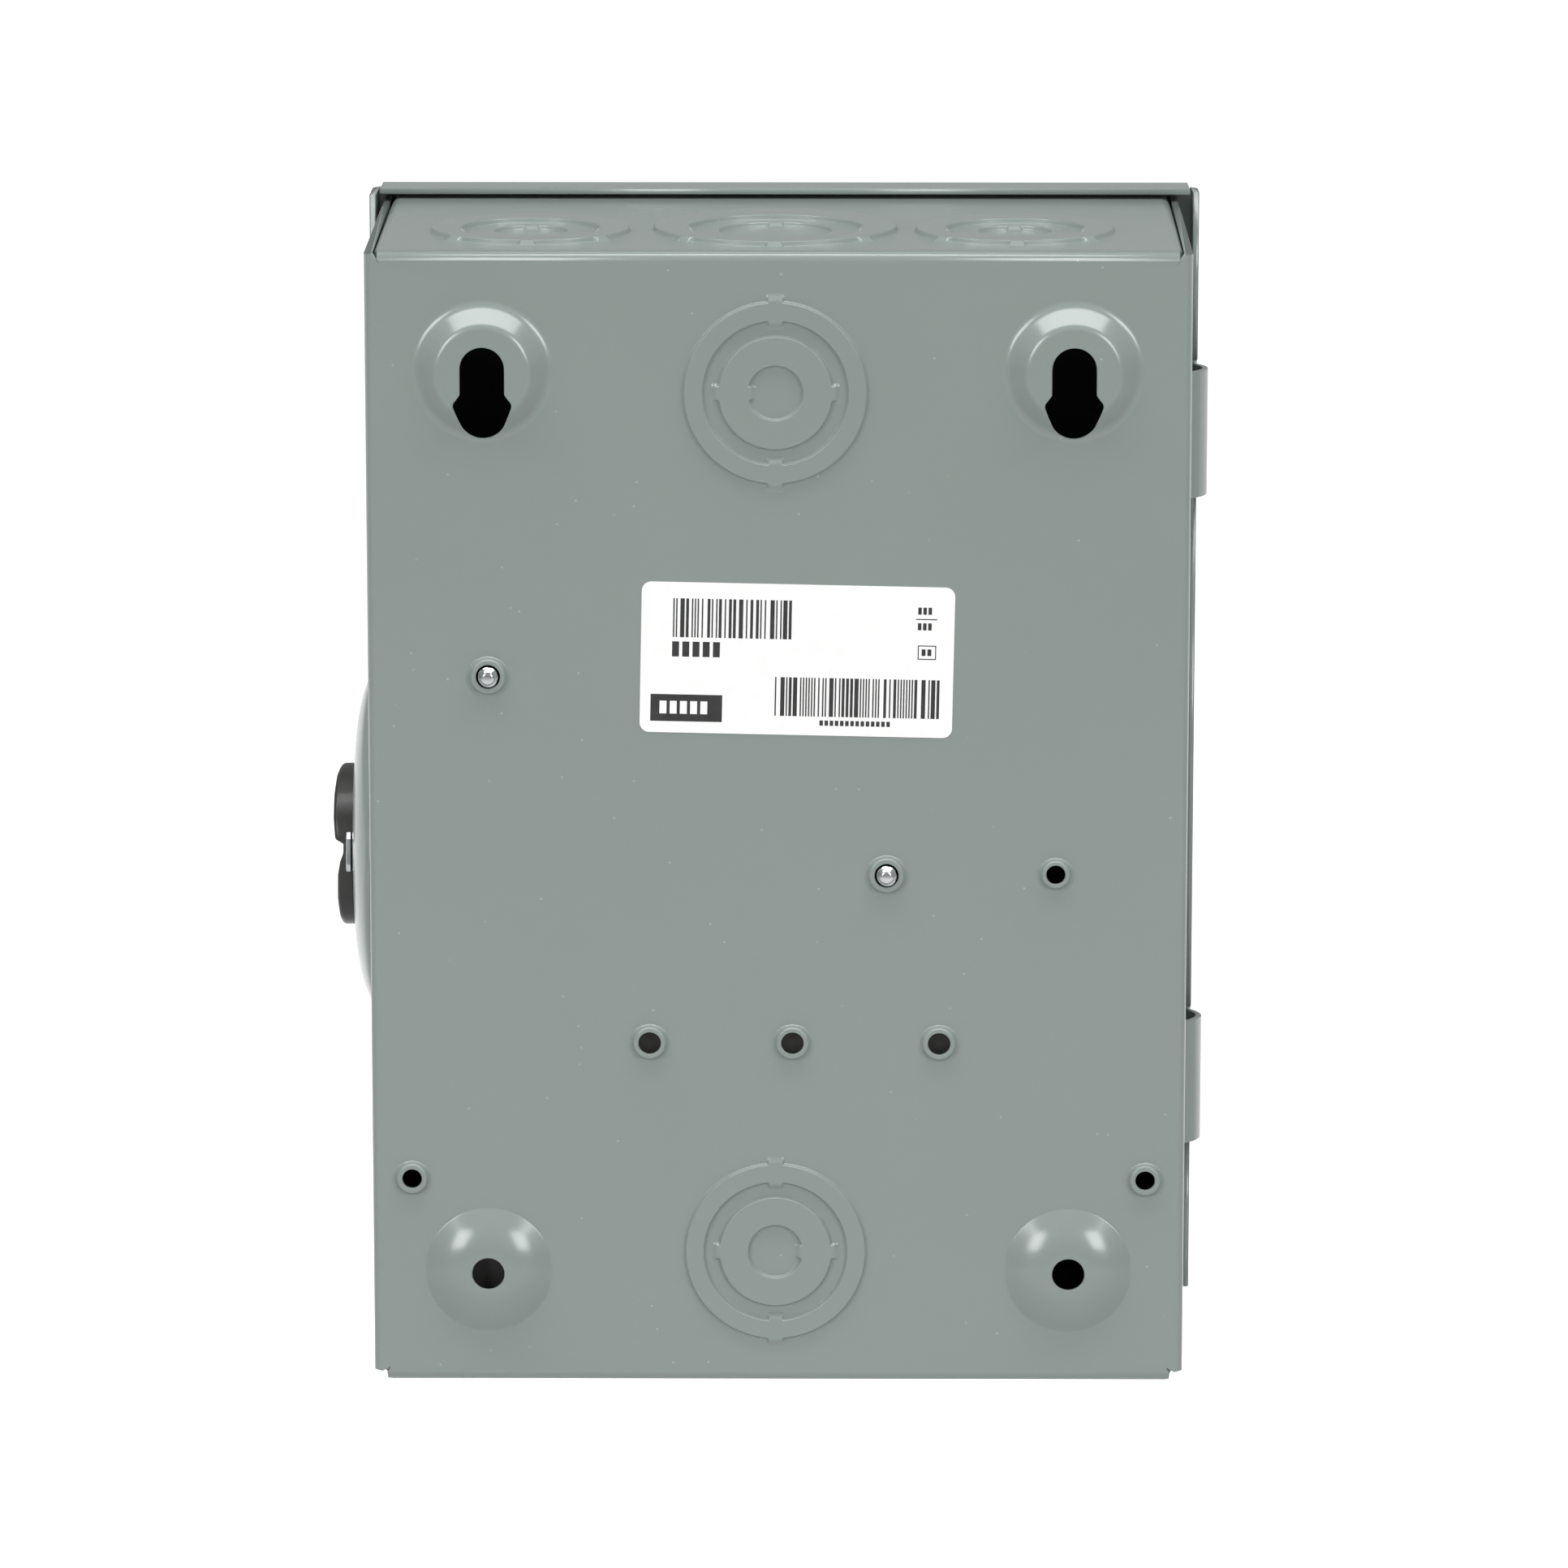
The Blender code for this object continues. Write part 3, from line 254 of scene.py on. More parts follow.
METAL_FINISHES = {                # darker and lighter tone, roughness and direction of the streaks
    "copper": ((0.52, 0.24, 0.13), (0.78, 0.42, 0.26), 0.30, ALONG_Z),
    "fuse_caps": ((0.55, 0.43, 0.22), (0.78, 0.66, 0.40), 0.26, ALONG_Z),
    "zinc_screws": ((0.52, 0.54, 0.56), (0.80, 0.81, 0.82), 0.22, ALONG_X),
    "lug_aluminium": ((0.55, 0.55, 0.54), (0.76, 0.76, 0.74), 0.34, ALONG_Z),
    "spring_steel": ((0.28, 0.28, 0.29), (0.50, 0.50, 0.52), 0.32, ALONG_X),
    "zinc_steel": ((0.50, 0.52, 0.54), (0.76, 0.77, 0.78), 0.28, ALONG_Z),
}
FINISHES = {"grey_paint": paint_material()}
FINISHES.update({name: plain_material(name, *values) for name, values in PLAIN_FINISHES.items()})
FINISHES.update({name: brushed_material(name, *values) for name, values in METAL_FINISHES.items()})


# ---- placing pieces ----------------------------------------------------------------------------
def world(places):
    """Row-frame points in metres of an array of (x, d, z) places."""
    places = np.asarray(places, float)
    return np.column_stack((places[:, 0], -(places[:, 1] + BOSS_HEIGHT), places[:, 2])) * MM


def add_piece(name, mesh, body, finish, replaced=()):
    piece = bpy.data.objects.new(name, mesh)
    bpy.context.collection.objects.link(piece)
    mesh.materials.append(FINISHES[finish])
    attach(piece, body)
    if replaced:
        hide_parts(*replaced)
    return piece


def smooth_mesh(name, points, faces, normals=None):
    """Mesh of world points; normals per vertex are (x, d, z) directions and need not be unit length."""
    mesh = bpy.data.meshes.new(name)
    mesh.from_pydata([tuple(point) for point in points], [], faces)
    mesh.update()
    mesh.polygons.foreach_set("use_smooth", [True] * len(mesh.polygons))
    if normals is not None:
        directions = normals * (1.0, -1.0, 1.0)
        directions /= np.linalg.norm(directions, axis=1)[:, None]
        mesh.normals_split_custom_set_from_vertices([tuple(item) for item in directions])
    return mesh


# ---- flat outlines -----------------------------------------------------------------------------
def arc(centre, radius, start, end, steps):
    """Points on an arc, angles in degrees."""
    angles = np.radians(np.linspace(start, end, steps + 1))
    return [(centre[0] + radius * math.cos(a), centre[1] + radius * math.sin(a)) for a in angles]


def circle(centre, radius, segments):
    return arc(centre, radius, 0.0, 360.0, segments)[:-1]


def inside(points, outline):
    """Even-odd test of many points against one closed outline."""
    hit = np.zeros(len(points), bool)
    x, y = points[:, 0], points[:, 1]
    for (ax, ay), (bx, by) in zip(outline, outline[1:] + outline[:1]):
        if ay != by:
            crosses = (ay > y) != (by > y)
            hit ^= crosses & (x < ax + (y - ay) * (bx - ax) / (by - ay))
    return hit


def triangulate(outline, holes, loops, lines):
    """Triangles of a flat blank; loops and lines are edges that the triangles have to follow."""
    coords = []
    edges = []
    for loop in [outline, *holes, *loops]:
        first = len(coords)
        coords.extend(Vector(point) for point in loop)
        edges.extend((first + i, first + (i + 1) % len(loop)) for i in range(len(loop)))
    for line in lines:
        first = len(coords)
        coords.extend(Vector(point) for point in line)
        edges.extend((first + i, first + i + 1) for i in range(len(line) - 1))
    points, _, faces, _, _, _ = delaunay_2d_cdt(coords, edges, [], 0, 1e-5)
    points = np.array([tuple(point) for point in points])
    faces = np.array(faces)
    middles = points[faces].mean(axis=1)
    kept = inside(middles, outline)
    for hole in holes:
        kept &= ~inside(middles, hole)
    used, faces = np.unique(faces[kept], return_inverse=True)
    return points[used], faces.reshape(-1, 3)


def open_edges(faces):
    """Directed edges that only one triangle uses."""
    count = int(faces.max()) + 1
    directed = np.concatenate([faces[:, (0, 1)], faces[:, (1, 2)], faces[:, (2, 0)]])
    key = directed[:, 0] * count + directed[:, 1]
    reverse = directed[:, 1] * count + directed[:, 0]
    return directed[~np.isin(key, reverse)]


RIM_STEPS = 4
RIM_BULGE = 0.22                  # how far the rounded, painted edge stands out


def sheet_mesh(name, outline, holes, loops, lines, surface):
    """Folded and pressed sheet with rounded edges.

    surface(u, v) takes arrays and gives the outer places, the fold's normals and the true normals.
    """
    flat, faces = triangulate(outline, holes, loops, lines)
    spots, folded, normals = surface(flat[:, 0], flat[:, 1])
    count = len(flat)
    edges = open_edges(faces)
    rim = np.unique(edges)
    away = np.zeros((count, 2))
    run = flat[edges[:, 1]] - flat[edges[:, 0]]
    run /= np.linalg.norm(run, axis=1)[:, None]
    sideways = np.column_stack((run[:, 1], -run[:, 0]))
    np.add.at(away, edges[:, 0], sideways)
    np.add.at(away, edges[:, 1], sideways)
    away = away[rim] / np.linalg.norm(away[rim], axis=1)[:, None]
    reach = 0.02
    within, _, _ = surface(flat[rim, 0] - away[:, 0] * reach, flat[rim, 1] - away[:, 1] * reach)
    outward = spots[rim] - within
    outward /= np.linalg.norm(outward, axis=1)[:, None]

    all_points = [spots, spots - folded * SHEET]
    all_normals = [normals, -normals]
    half = SHEET / 2
    for step in range(1, RIM_STEPS):
        angle = math.pi * step / RIM_STEPS
        sunk = half * (1.0 - math.cos(angle))
        all_points.append(spots[rim] - folded[rim] * sunk + outward * RIM_BULGE * math.sin(angle))
        all_normals.append(folded[rim] * math.cos(angle) / half + outward * math.sin(angle) / RIM_BULGE)
    order = np.zeros(count, int)
    order[rim] = np.arange(len(rim))
    layers = [edges]
    for step in range(RIM_STEPS - 1):
        layers.append(order[edges] + 2 * count + step * len(rim))
    layers.append(edges + count)
    polygons = faces[:, ::-1].tolist() + (faces + count).tolist()
    for near, far in zip(layers, layers[1:]):
        polygons += np.column_stack((near[:, 0], near[:, 1], far[:, 1], far[:, 0])).tolist()
    return smooth_mesh(name, world(np.concatenate(all_points)), polygons, np.concatenate(all_normals))


# ---- pressed features --------------------------------------------------------------------------
def eased(share, start, end):
    """Falls from 1 to 0 over the shares 0..1; start and end are the parts that are rounded."""
    total = 1.0 - (start + end) / 2
    first = np.clip(share, 0.0, start)
    middle = np.clip(share - start, 0.0, 1.0 - start - end)
    last = np.clip(share - 1.0 + end, 0.0, end)
    return 1.0 - (first ** 2 / (2 * start) + middle + last - last ** 2 / (2 * end)) / total


FLAT_RING = 0.2                   # width of the flat ring that closes off a pressing's shading


class Pressing:
    """A round pressing whose height falls from a flat top at one radius to the sheet at another.

    shoulders are the rounded shares of the flank; power, where given, is a domed flank's two exponents.
    """

    def __init__(self, centre, flat, radius, height, shoulders, segments, count, power=None):
        self.centre = centre
        self.reach = radius
        self.flat = flat
        self.height = height
        self.shoulders = shoulders
        self.power = power
        radii = [flat - FLAT_RING, *np.linspace(flat, radius, count), radius + FLAT_RING]
        self.loops = [circle(centre, value, segments) for value in radii]

    def heights(self, x, y):
        share = np.clip((np.hypot(x, y) - self.flat) / (self.reach - self.flat), 0.0, 1.0)
        if self.power:
            return self.height * (1.0 - share ** self.power[0]) ** self.power[1]
        return self.height * eased(share, *self.shoulders)


TAB = 3.2                         # width of the bridges that hold a knockout
EDGE = 0.60                       # width of a sheared step, rounded by paint
TAB_EDGE = 0.8                    # width over which a bridge's side fades
BRIDGE_LEAN = 0.9                 # how far a bridge's slope is set off towards the higher side
BRIDGE_SLOPE = 1.7                # width of that slope
KNOCKOUT_MARGIN = 2.6             # how far past its outer disc a knockout may shape the sheet
HALF_STEPS = (0.1, 0.2, 0.3, 0.42, 0.7, 1.1, 1.5, 1.9)
STEP_OFFSETS = (*(-offset for offset in reversed(HALF_STEPS)), 0.0, *HALF_STEPS)


class Knockout:
    """Nested discs at stepped levels; each cut is (centre, radius, tab angles) and has its level."""

    def __init__(self, cuts, levels, segments):
        self.cuts = cuts
        self.levels = levels
        self.centre, radius, _ = cuts[0]
        self.reach = radius + KNOCKOUT_MARGIN
        self.loops = []
        for (cx, cy), radius, tabs in cuts:
            sides = np.linspace(-TAB_EDGE / 2, TAB_EDGE / 2, 5)
            angles = list(np.radians(np.arange(0.0, 360.0, 360.0 / segments)))
            for tab in tabs:
                for side in (-TAB / 2, TAB / 2):
                    angles += list(math.radians(tab) + (side + sides) / radius)
            angles = sorted(angle % (2 * math.pi) for angle in angles)
            for reach in (radius + offset for offset in STEP_OFFSETS):
                self.loops.append([(cx + reach * math.cos(a), cy + reach * math.sin(a)) for a in angles])

    def heights(self, x, y):
        total = np.zeros(len(x))
        outer = 0.0
        for ((cx, cy), radius, tabs), level in zip(self.cuts, self.levels):
            px = x + self.centre[0] - cx
            py = y + self.centre[1] - cy
            distance = np.hypot(px, py) - radius
            angle = np.arctan2(py, px)
            bridge = np.zeros(len(x))
            for tab in tabs:
                turn = (angle - math.radians(tab) + math.pi) % (2 * math.pi) - math.pi
                arm = np.abs(turn) * radius - TAB / 2
                bridge = np.maximum(bridge, 1.0 - eased_step(arm, TAB_EDGE))
            rise = level - outer
            lean = BRIDGE_LEAN * math.copysign(1.0, rise)
            sheared = 1.0 - eased_step(distance, EDGE)
            soft = 1.0 - eased_step(distance - lean, BRIDGE_SLOPE)
            total += rise * (sheared * (1.0 - bridge) + soft * bridge)
            outer = level
        return total


def eased_step(value, width):
    """Smooth step from 0 to 1 centred on zero."""
    share = np.clip(value / width + 0.5, 0.0, 1.0)
    return share * share * (3.0 - 2.0 * share)


def total_height(features, u, v):
    height = np.zeros(len(u))
    for item in features:
        x = u - item.centre[0]
        y = v - item.centre[1]
        near = np.nonzero((np.abs(x) < item.reach) & (np.abs(y) < item.reach))[0]
        if len(near):
            height[near] += item.heights(x[near], y[near])
    return height


# ---- the box -----------------------------------------------------------------------------------
FLAT_X = BOX_WIDTH / 2 - BEND
FLAT_Z = BOX_HEIGHT / 2 - BEND
QUARTER = BEND * math.pi / 2
TAB_X = BOX_WIDTH / 2 - SHEET - GAP - BEND
WALL_TOP = BOX_HEIGHT / 2 - 0.6   # how far the side walls reach up
WALL_FOOT = BOX_HEIGHT / 2 - 2.2  # how far they reach down
FLANGE = 12.0                     # width of the side flanges of the end walls
NOTCH = 1.0                       # gap between these flanges' bends and the corner notches


def side_u(d):
    """Flat distance from the middle of the blank to depth d on a side wall."""
    return FLAT_X + QUARTER + d - BEND


def end_v(d):
    return FLAT_Z + QUARTER + d - BEND


def fold(distance, radius):
    """Walks distances round a quarter bend: way along, depth, and sine and cosine of the turn."""
    angle = np.clip(distance / radius, 0.0, math.pi / 2)
    along = np.minimum(distance, 0.0) + radius * np.sin(angle)
    depth = radius * (1.0 - np.cos(angle)) + np.maximum(distance - radius * math.pi / 2, 0.0)
    return along, depth, np.sin(angle), np.cos(angle)


def keyhole(centre):
    """Narrow slot above, wider entry below that tapers to a round end."""
    x, z = centre
    slot = 4.55 + RIM_BULGE
    slot_end = z - 4.4
    shoulder_x = 4.5
    shoulder_z = z - 6.9
    shoulder = 1.5 + RIM_BULGE
    entry = 4.85 + RIM_BULGE
    points = arc((x, z + 0.8), slot, 0.0, 180.0, 32)
    points.append((x - slot, slot_end))
    points += arc((x - shoulder_x, shoulder_z), shoulder, 130.0, 205.0, 12)
    points += arc((x, z - 9.2), entry, 200.0, 340.0, 32)
    points += arc((x + shoulder_x, shoulder_z), shoulder, -25.0, 50.0, 12)
    points.append((x + slot, slot_end))
    return points


def back_knockout(centre, inner_tab):
    cuts = (
        (centre, 19.0, (90.0, 270.0)),
        (centre, 14.95, (90.0, 270.0)),
        (centre, 11.85, (0.0, 180.0)),
        (centre, 5.6, (inner_tab,)),
    )
    return Knockout(cuts, (0.8, 0.0, 0.8, 0.0), 96)


# (x, then depth and radius of the three nested discs) of the knockouts in the end walls
END_KNOCKOUTS = (
    (-49.3, (30.4, 20.8), (28.3, 14.6), (31.2, 7.5)),
    (0.8, (33.3, 25.5), (30.0, 18.2), (32.3, 11.6)),
    (52.0, (30.4, 20.8), (28.3, 14.6), (31.2, 7.5)),
)


def end_knockout(sign, x, *discs):
    """Knockout of an end wall; its rear bridge faces the back sheet."""
    rear = 270.0 if sign > 0 else 90.0
    centres = [(x, sign * end_v(d)) for d, _ in discs]
    spread = 46.0
    tabs = ((rear, rear - spread, rear + spread), (0.0, 180.0), (rear + 180.0,))
    cuts = [(centre, radius, tab) for centre, (_, radius), tab in zip(centres, discs, tabs)]
    return Knockout(cuts, (1.0, 0.0, -0.8), 96)


def box_features():
    features = []
    for centre in KEYHOLES:
        features.append(Pressing(centre, 9.0, 14.9, BOSS_HEIGHT, (0.26, 0.34), 96, 18))
    for centre in DIMPLES:
        features.append(Pressing(centre, 4.0, 13.6, BOSS_HEIGHT, (0.75, 0.04), 96, 24))
    for x, z, bridge in BACK_KNOCKOUTS:
        features.append(back_knockout((x, z), bridge))
    for x, z, _, collar in EYELETS:
        features.append(Pressing((x, z), collar - 0.3, collar + 0.75, 1.3, (0.5, 0.4), 48, 9))
    for sign in (1, -1):
        for entry in END_KNOCKOUTS:
            features.append(end_knockout(sign, *entry))
    for side in (1, -1):
        centre = (side * side_u(SIDE_KNOCKOUT_D), SIDE_KNOCKOUT_Z)
        cuts = ((centre, 14.5, (0.0, 180.0)), (centre, 11.1, (90.0, 270.0)))
        features.append(Knockout(cuts, (0.9, 0.0), 72))
    dome = (side_u(PIVOT_D), PIVOT_Z)
    features.append(Pressing(dome, 19.0, 36.2, DOME_HEIGHT, None, 128, 20, (2.0, 0.6)))
    return features


def box_outline():
    """Cross-shaped blank: side walls left and right, end walls with side flanges above and below."""
    side = side_u(BOX_FRONT)
    end = end_v(BOX_FRONT)
    notch_x = TAB_X + NOTCH
    flange_x = TAB_X + QUARTER + FLANGE
    low = end_v(BEND + 4.0)
    high = end_v(BOX_FRONT - 1.5)

    def corner(wall):
        return [
            (side, wall),
            (FLAT_X + 0.4, wall),
            (FLAT_X - 1.6, FLAT_Z - 1.2),
            (notch_x, FLAT_Z + 0.6),
            (notch_x, low - 1.0),
            (flange_x - 2.0, low),
            (flange_x, low + 2.0),
            (flange_x, high - 4.0),
            (flange_x - 4.0, high),
            (notch_x, end),
        ]

    points = corner(WALL_TOP)
    points += [(-u, v) for u, v in reversed(corner(WALL_TOP))]
    points += [(-u, -v) for u, v in corner(WALL_FOOT)]
    points += [(u, -v) for u, v in reversed(corner(WALL_FOOT))]
    return points


def box_surface(features):
    slope_step = 0.02

    def surface(u, v):
        side = np.where(u < 0, -1.0, 1.0)
        end = np.where(v < 0, -1.0, 1.0)
        along_u, depth_u, sine_u, cosine_u = fold(np.abs(u) - FLAT_X, BEND)
        nothing = np.zeros(len(u))
        spot = np.column_stack((side * (FLAT_X + along_u), depth_u, v))
        normal = np.column_stack((side * sine_u, -cosine_u, nothing))
        tangent_u = np.column_stack((side * cosine_u, sine_u, nothing))
        tangent_v = np.column_stack((nothing, nothing, end))

        along, depth, sine, cosine = fold(np.abs(v) - FLAT_Z, BEND)
        across, drop, turn, level = fold(np.abs(u) - TAB_X, BEND)
        near_bend = (np.abs(v) > FLAT_Z) & (np.abs(u) < FLAT_X - 0.5)
        on_end = near_bend | (np.abs(v) > BOX_HEIGHT / 2)
        end_spot = np.column_stack((side * (TAB_X + across), depth, end * (FLAT_Z + along - drop)))
        end_normal = np.column_stack((side * turn, -cosine, end * sine * level))
        end_normal /= np.linalg.norm(end_normal, axis=1)[:, None]
        spot[on_end] = end_spot[on_end]
        normal[on_end] = end_normal[on_end]
        tangent_u[on_end] = np.column_stack((side * level, nothing, -end * turn))[on_end]
        tangent_v[on_end] = np.column_stack((nothing, sine, end * cosine))[on_end]

        height = total_height(features, u, v)
        slope_u = total_height(features, u + slope_step, v) - total_height(features, u - slope_step, v)
        slope_v = total_height(features, u, v + slope_step) - total_height(features, u, v - slope_step)
        slope_u *= side / (2 * slope_step)
        slope_v *= end / (2 * slope_step)
        lean = tangent_u * slope_u[:, None] + tangent_v * slope_v[:, None]
        return spot + normal * height[:, None], normal, normal - lean

    return surface


def box_lines():
    """Lines in the flat blank that the bends need; they end just inside the outline."""
    lines = []
    steps = 7
    across = NOTCH - 0.1
    for sign in (1, -1):
        for step in range(steps + 1):
            offset = QUARTER * step / steps
            top = FLAT_Z - 1.4 if step == 0 else WALL_TOP - 0.1
            foot = FLAT_Z - 1.4 if step == 0 else WALL_FOOT - 0.1
            wall_u = sign * (FLAT_X + offset)
            end_wall_v = sign * (FLAT_Z + offset)
            tab_u = sign * (TAB_X + offset)
            lines.append([(wall_u, -foot), (wall_u, top)])
            lines.append([(-TAB_X - across, end_wall_v), (TAB_X + across, end_wall_v)])
            low = end_v(BEND + 4.1)
            high = end_v(BOX_FRONT - 1.6)
            if offset <= across:
                low = end_v(BEND)
                high = end_v(BOX_FRONT) - 0.1
            for end in (1, -1):
                lines.append([(tab_u, end * low), (tab_u, end * high)])
    return lines


def make_enclosure():
    features = box_features()
    holes = [keyhole(centre) for centre in KEYHOLES]
    holes += [circle(centre, DIMPLE_HOLE + RIM_BULGE, 48) for centre in DIMPLES]
    holes += [circle((x, z), hole + RIM_BULGE, 32) for x, z, hole, _ in EYELETS]
    holes.append(circle((side_u(PIVOT_D), PIVOT_Z), SHAFT_HOLE, 64))
    slot = (HINGE_D - HOOK_RADIUS - GAP, HINGE_D - HOOK_RADIUS + SHEET + GAP + 0.1)
    for low, high in HOOK_SPANS:
        near = -side_u(slot[0] - RIM_BULGE)
        far = -side_u(slot[1] + RIM_BULGE)
        bottom = low - GAP - RIM_BULGE
        top = high + GAP + RIM_BULGE
        holes.append([(far, bottom), (near, bottom), (near, top), (far, top)])
    loops = [loop for item in features for loop in item.loops]
    mesh = sheet_mesh("enclosure_shell", box_outline(), holes, loops, box_lines(), box_surface(features))
    add_piece("enclosure_shell", mesh, "box", "grey_paint", ["enclosure_body"])


# ---- the cover ---------------------------------------------------------------------------------
COVER_MIDDLE = (COVER_RIGHT - COVER_LEFT) / 2
COVER_FLAT_X = (COVER_RIGHT + COVER_LEFT) / 2 - COVER_BEND
COVER_FLAT_Z = COVER_TOP - COVER_BEND
COVER_QUARTER = COVER_BEND * math.pi / 2
FLANGE_GAP = 0.6
HOOK_KNEE = HINGE_D + HOOK_RADIUS * math.sin(math.radians(HOOK_START))


def flange_length(rear):
    """Flat length from the start of the cover's bend to the rear edge at depth rear."""
    return COVER_QUARTER + COVER_FACE - COVER_BEND - rear


def cover_surface(u, v):
    """The cover's blank folded up; u runs from the handle side to the hinge side."""
    side = np.where(u < 0, -1.0, 1.0)
    end = np.where(v < 0, -1.0, 1.0)
    nothing = np.zeros(len(u))
    along, drop, sine, cosine = fold(np.abs(u) - COVER_FLAT_X, COVER_BEND)
    spot = np.column_stack((COVER_MIDDLE - side * (COVER_FLAT_X + along), COVER_FACE - drop, v))
    normal = np.column_stack((-side * sine, cosine, nothing))

    along, drop, sine, cosine = fold(np.abs(v) - COVER_FLAT_Z, COVER_BEND)
    on_end = (np.abs(v) > COVER_FLAT_Z) & (np.abs(u) < COVER_FLAT_X - FLANGE_GAP / 2)
    end_spot = np.column_stack((COVER_MIDDLE - u, COVER_FACE - drop, end * (COVER_FLAT_Z + along)))
    end_normal = np.column_stack((nothing, cosine, end * sine))
    spot[on_end] = end_spot[on_end]
    normal[on_end] = end_normal[on_end]

    beyond = u - COVER_FLAT_X - flange_length(HOOK_KNEE)
    in_span = np.zeros(len(u), bool)
    for low, high in HOOK_SPANS:
        in_span |= (v > low - 0.01) & (v < high + 0.01)
    hooked = (beyond > 0) & in_span
    angle = math.radians(HOOK_START) + beyond / HOOK_RADIUS
    curl = np.column_stack((np.cos(angle), np.sin(angle), nothing))
    axis = np.column_stack((nothing + HINGE_X, nothing + HINGE_D, v))
    spot[hooked] = (axis + curl * HOOK_RADIUS)[hooked]
    normal[hooked] = curl[hooked]
    return spot, normal, normal


def make_cover():
    wall = COVER_TOP - 1.2
    right = COVER_FLAT_X + flange_length(COVER_REAR)
    left = COVER_FLAT_X + flange_length(COVER_HINGE_REAR)
    root = COVER_FLAT_X + flange_length(HOOK_KNEE) - 0.4
    sweep = math.radians(HOOK_END - HOOK_START) * HOOK_RADIUS
    tip = COVER_FLAT_X + flange_length(HOOK_KNEE) + sweep
    top_end = COVER_FLAT_Z + flange_length(COVER_TOP_REAR)
    low_end = COVER_FLAT_Z + flange_length(COVER_REAR)
    top_x = COVER_FLAT_X - FLANGE_GAP
    hinge_edge = [(left, -wall)]
    for low, high in HOOK_SPANS:
        hinge_edge += [(left, low - 1.5), (root, low - 1.5), (root, low), (tip, low)]
        hinge_edge += [(tip, high), (root, high), (root, high + 1.5), (left, high + 1.5)]
    hinge_edge.append((left, wall))
    corner = [(COVER_FLAT_X + 0.3, wall), (top_x, COVER_FLAT_Z - 0.3)]
    upper = [*corner, (top_x, top_end)]
    lower = [*corner, (top_x, low_end)]
    outline = hinge_edge + upper
    outline += [(-u, v) for u, v in reversed(upper)] + [(-right, wall), (-right, -wall)]
    outline += [(-u, -v) for u, v in lower]
    outline += [(u, -v) for u, v in reversed(lower)]
    lines = []
    steps = 8
    across = top_x - 0.1
    for step in range(steps + 1):
        offset = COVER_QUARTER * step / steps
        reach = COVER_FLAT_Z - 0.4 if step == 0 else wall - 0.1
        for sign in (1, -1):
            u = sign * (COVER_FLAT_X + offset)
            v = sign * (COVER_FLAT_Z + offset)
            lines.append([(u, -reach), (u, reach)])
            lines.append([(-across, v), (across, v)])
    bends = 28
    for low, high in HOOK_SPANS:
        for step in range(bends):
            u = COVER_FLAT_X + flange_length(HOOK_KNEE) + sweep * step / bends
            lines.append([(u, low), (u, high)])
    mesh = sheet_mesh("cover_shell", outline, [], [], lines, cover_surface)
    add_piece("cover_shell", mesh, "cover", "grey_paint", ["cover"])


# ---- handle and lock tab -----------------------------------------------------------------------
HANDLE_BASE = BOX_WIDTH / 2 + DOME_HEIGHT + GAP
HANDLE_LEAN = math.radians(11.5)  # the lever dips towards the front
GRIP_Z = -12.6                    # middle height of the upright lever
GRIP_HALF = 17.2                  # half its height, and the radius of its round end
GRIP_END = 72.0                   # depth of its free end
EDGE_ROUND = 0.9                  # radius of the handle's outer edge
GRIP_ROUND = 8.0                  # radius of the corners at the lever's free end
SOCKET = 4.7                      # radius of the hole for the shaft
GRIP_SECTION = (                  # (z, x of the outer face): taller upper rib, groove, lower rib
    (4.6, 93.3),
    (2.0, 94.0),
    (-2.0, 94.3),
    (-7.0, 94.3),
    (-11.2, 93.95),
    (-11.9, 93.6),
    (-12.2, 92.4),
    (-12.5, 92.2),
    (-14.2, 92.2),
    (-14.8, 92.3),
    (-16.4, 92.9),
    (-19.0, 93.4),
    (-24.0, 93.6),
    (-27.8, 93.45),
    (-29.8, 93.1),
)


def grip_height(z):
    """Distance x of the handle's outer face at height z."""
    rows = GRIP_SECTION[::-1]
    return np.interp(z, [row[0] for row in rows], [row[1] for row in rows])


def leaned(places):
    """Turns (x, d, z) places of the upright lever about the pivot into its rest position."""
    places = np.array(places, float)
    forward = places[:, 1] - PIVOT_D
    up = places[:, 2] - PIVOT_Z
    places[:, 1] = PIVOT_D + forward * math.cos(HANDLE_LEAN) + up * math.sin(HANDLE_LEAN)
    places[:, 2] = PIVOT_Z + up * math.cos(HANDLE_LEAN) - forward * math.sin(HANDLE_LEAN)
    return places


def edge_distance(points, outline):
    """Distance of each point to a closed outline."""
    best = np.full(len(points), 1e9)
    for first, second in zip(outline, outline[1:] + outline[:1]):
        a, b = np.array(first), np.array(second)
        run = b - a
        share = np.clip(((points - a) @ run) / max(run @ run, 1e-12), 0.0, 1.0)
        best = np.minimum(best, np.linalg.norm(points - a - share[:, None] * run, axis=1))
    return best


def grip_outline(inset):
    half = GRIP_HALF - inset
    corner = GRIP_ROUND - inset
    points = arc((PIVOT_D, GRIP_Z), half, 90.0, 270.0, 48)
    points += arc((GRIP_END - GRIP_ROUND, GRIP_Z - GRIP_HALF + GRIP_ROUND), corner, -90.0, 0.0, 12)
    points += arc((GRIP_END - GRIP_ROUND, GRIP_Z + GRIP_HALF - GRIP_ROUND), corner, 0.0, 90.0, 12)
    return points


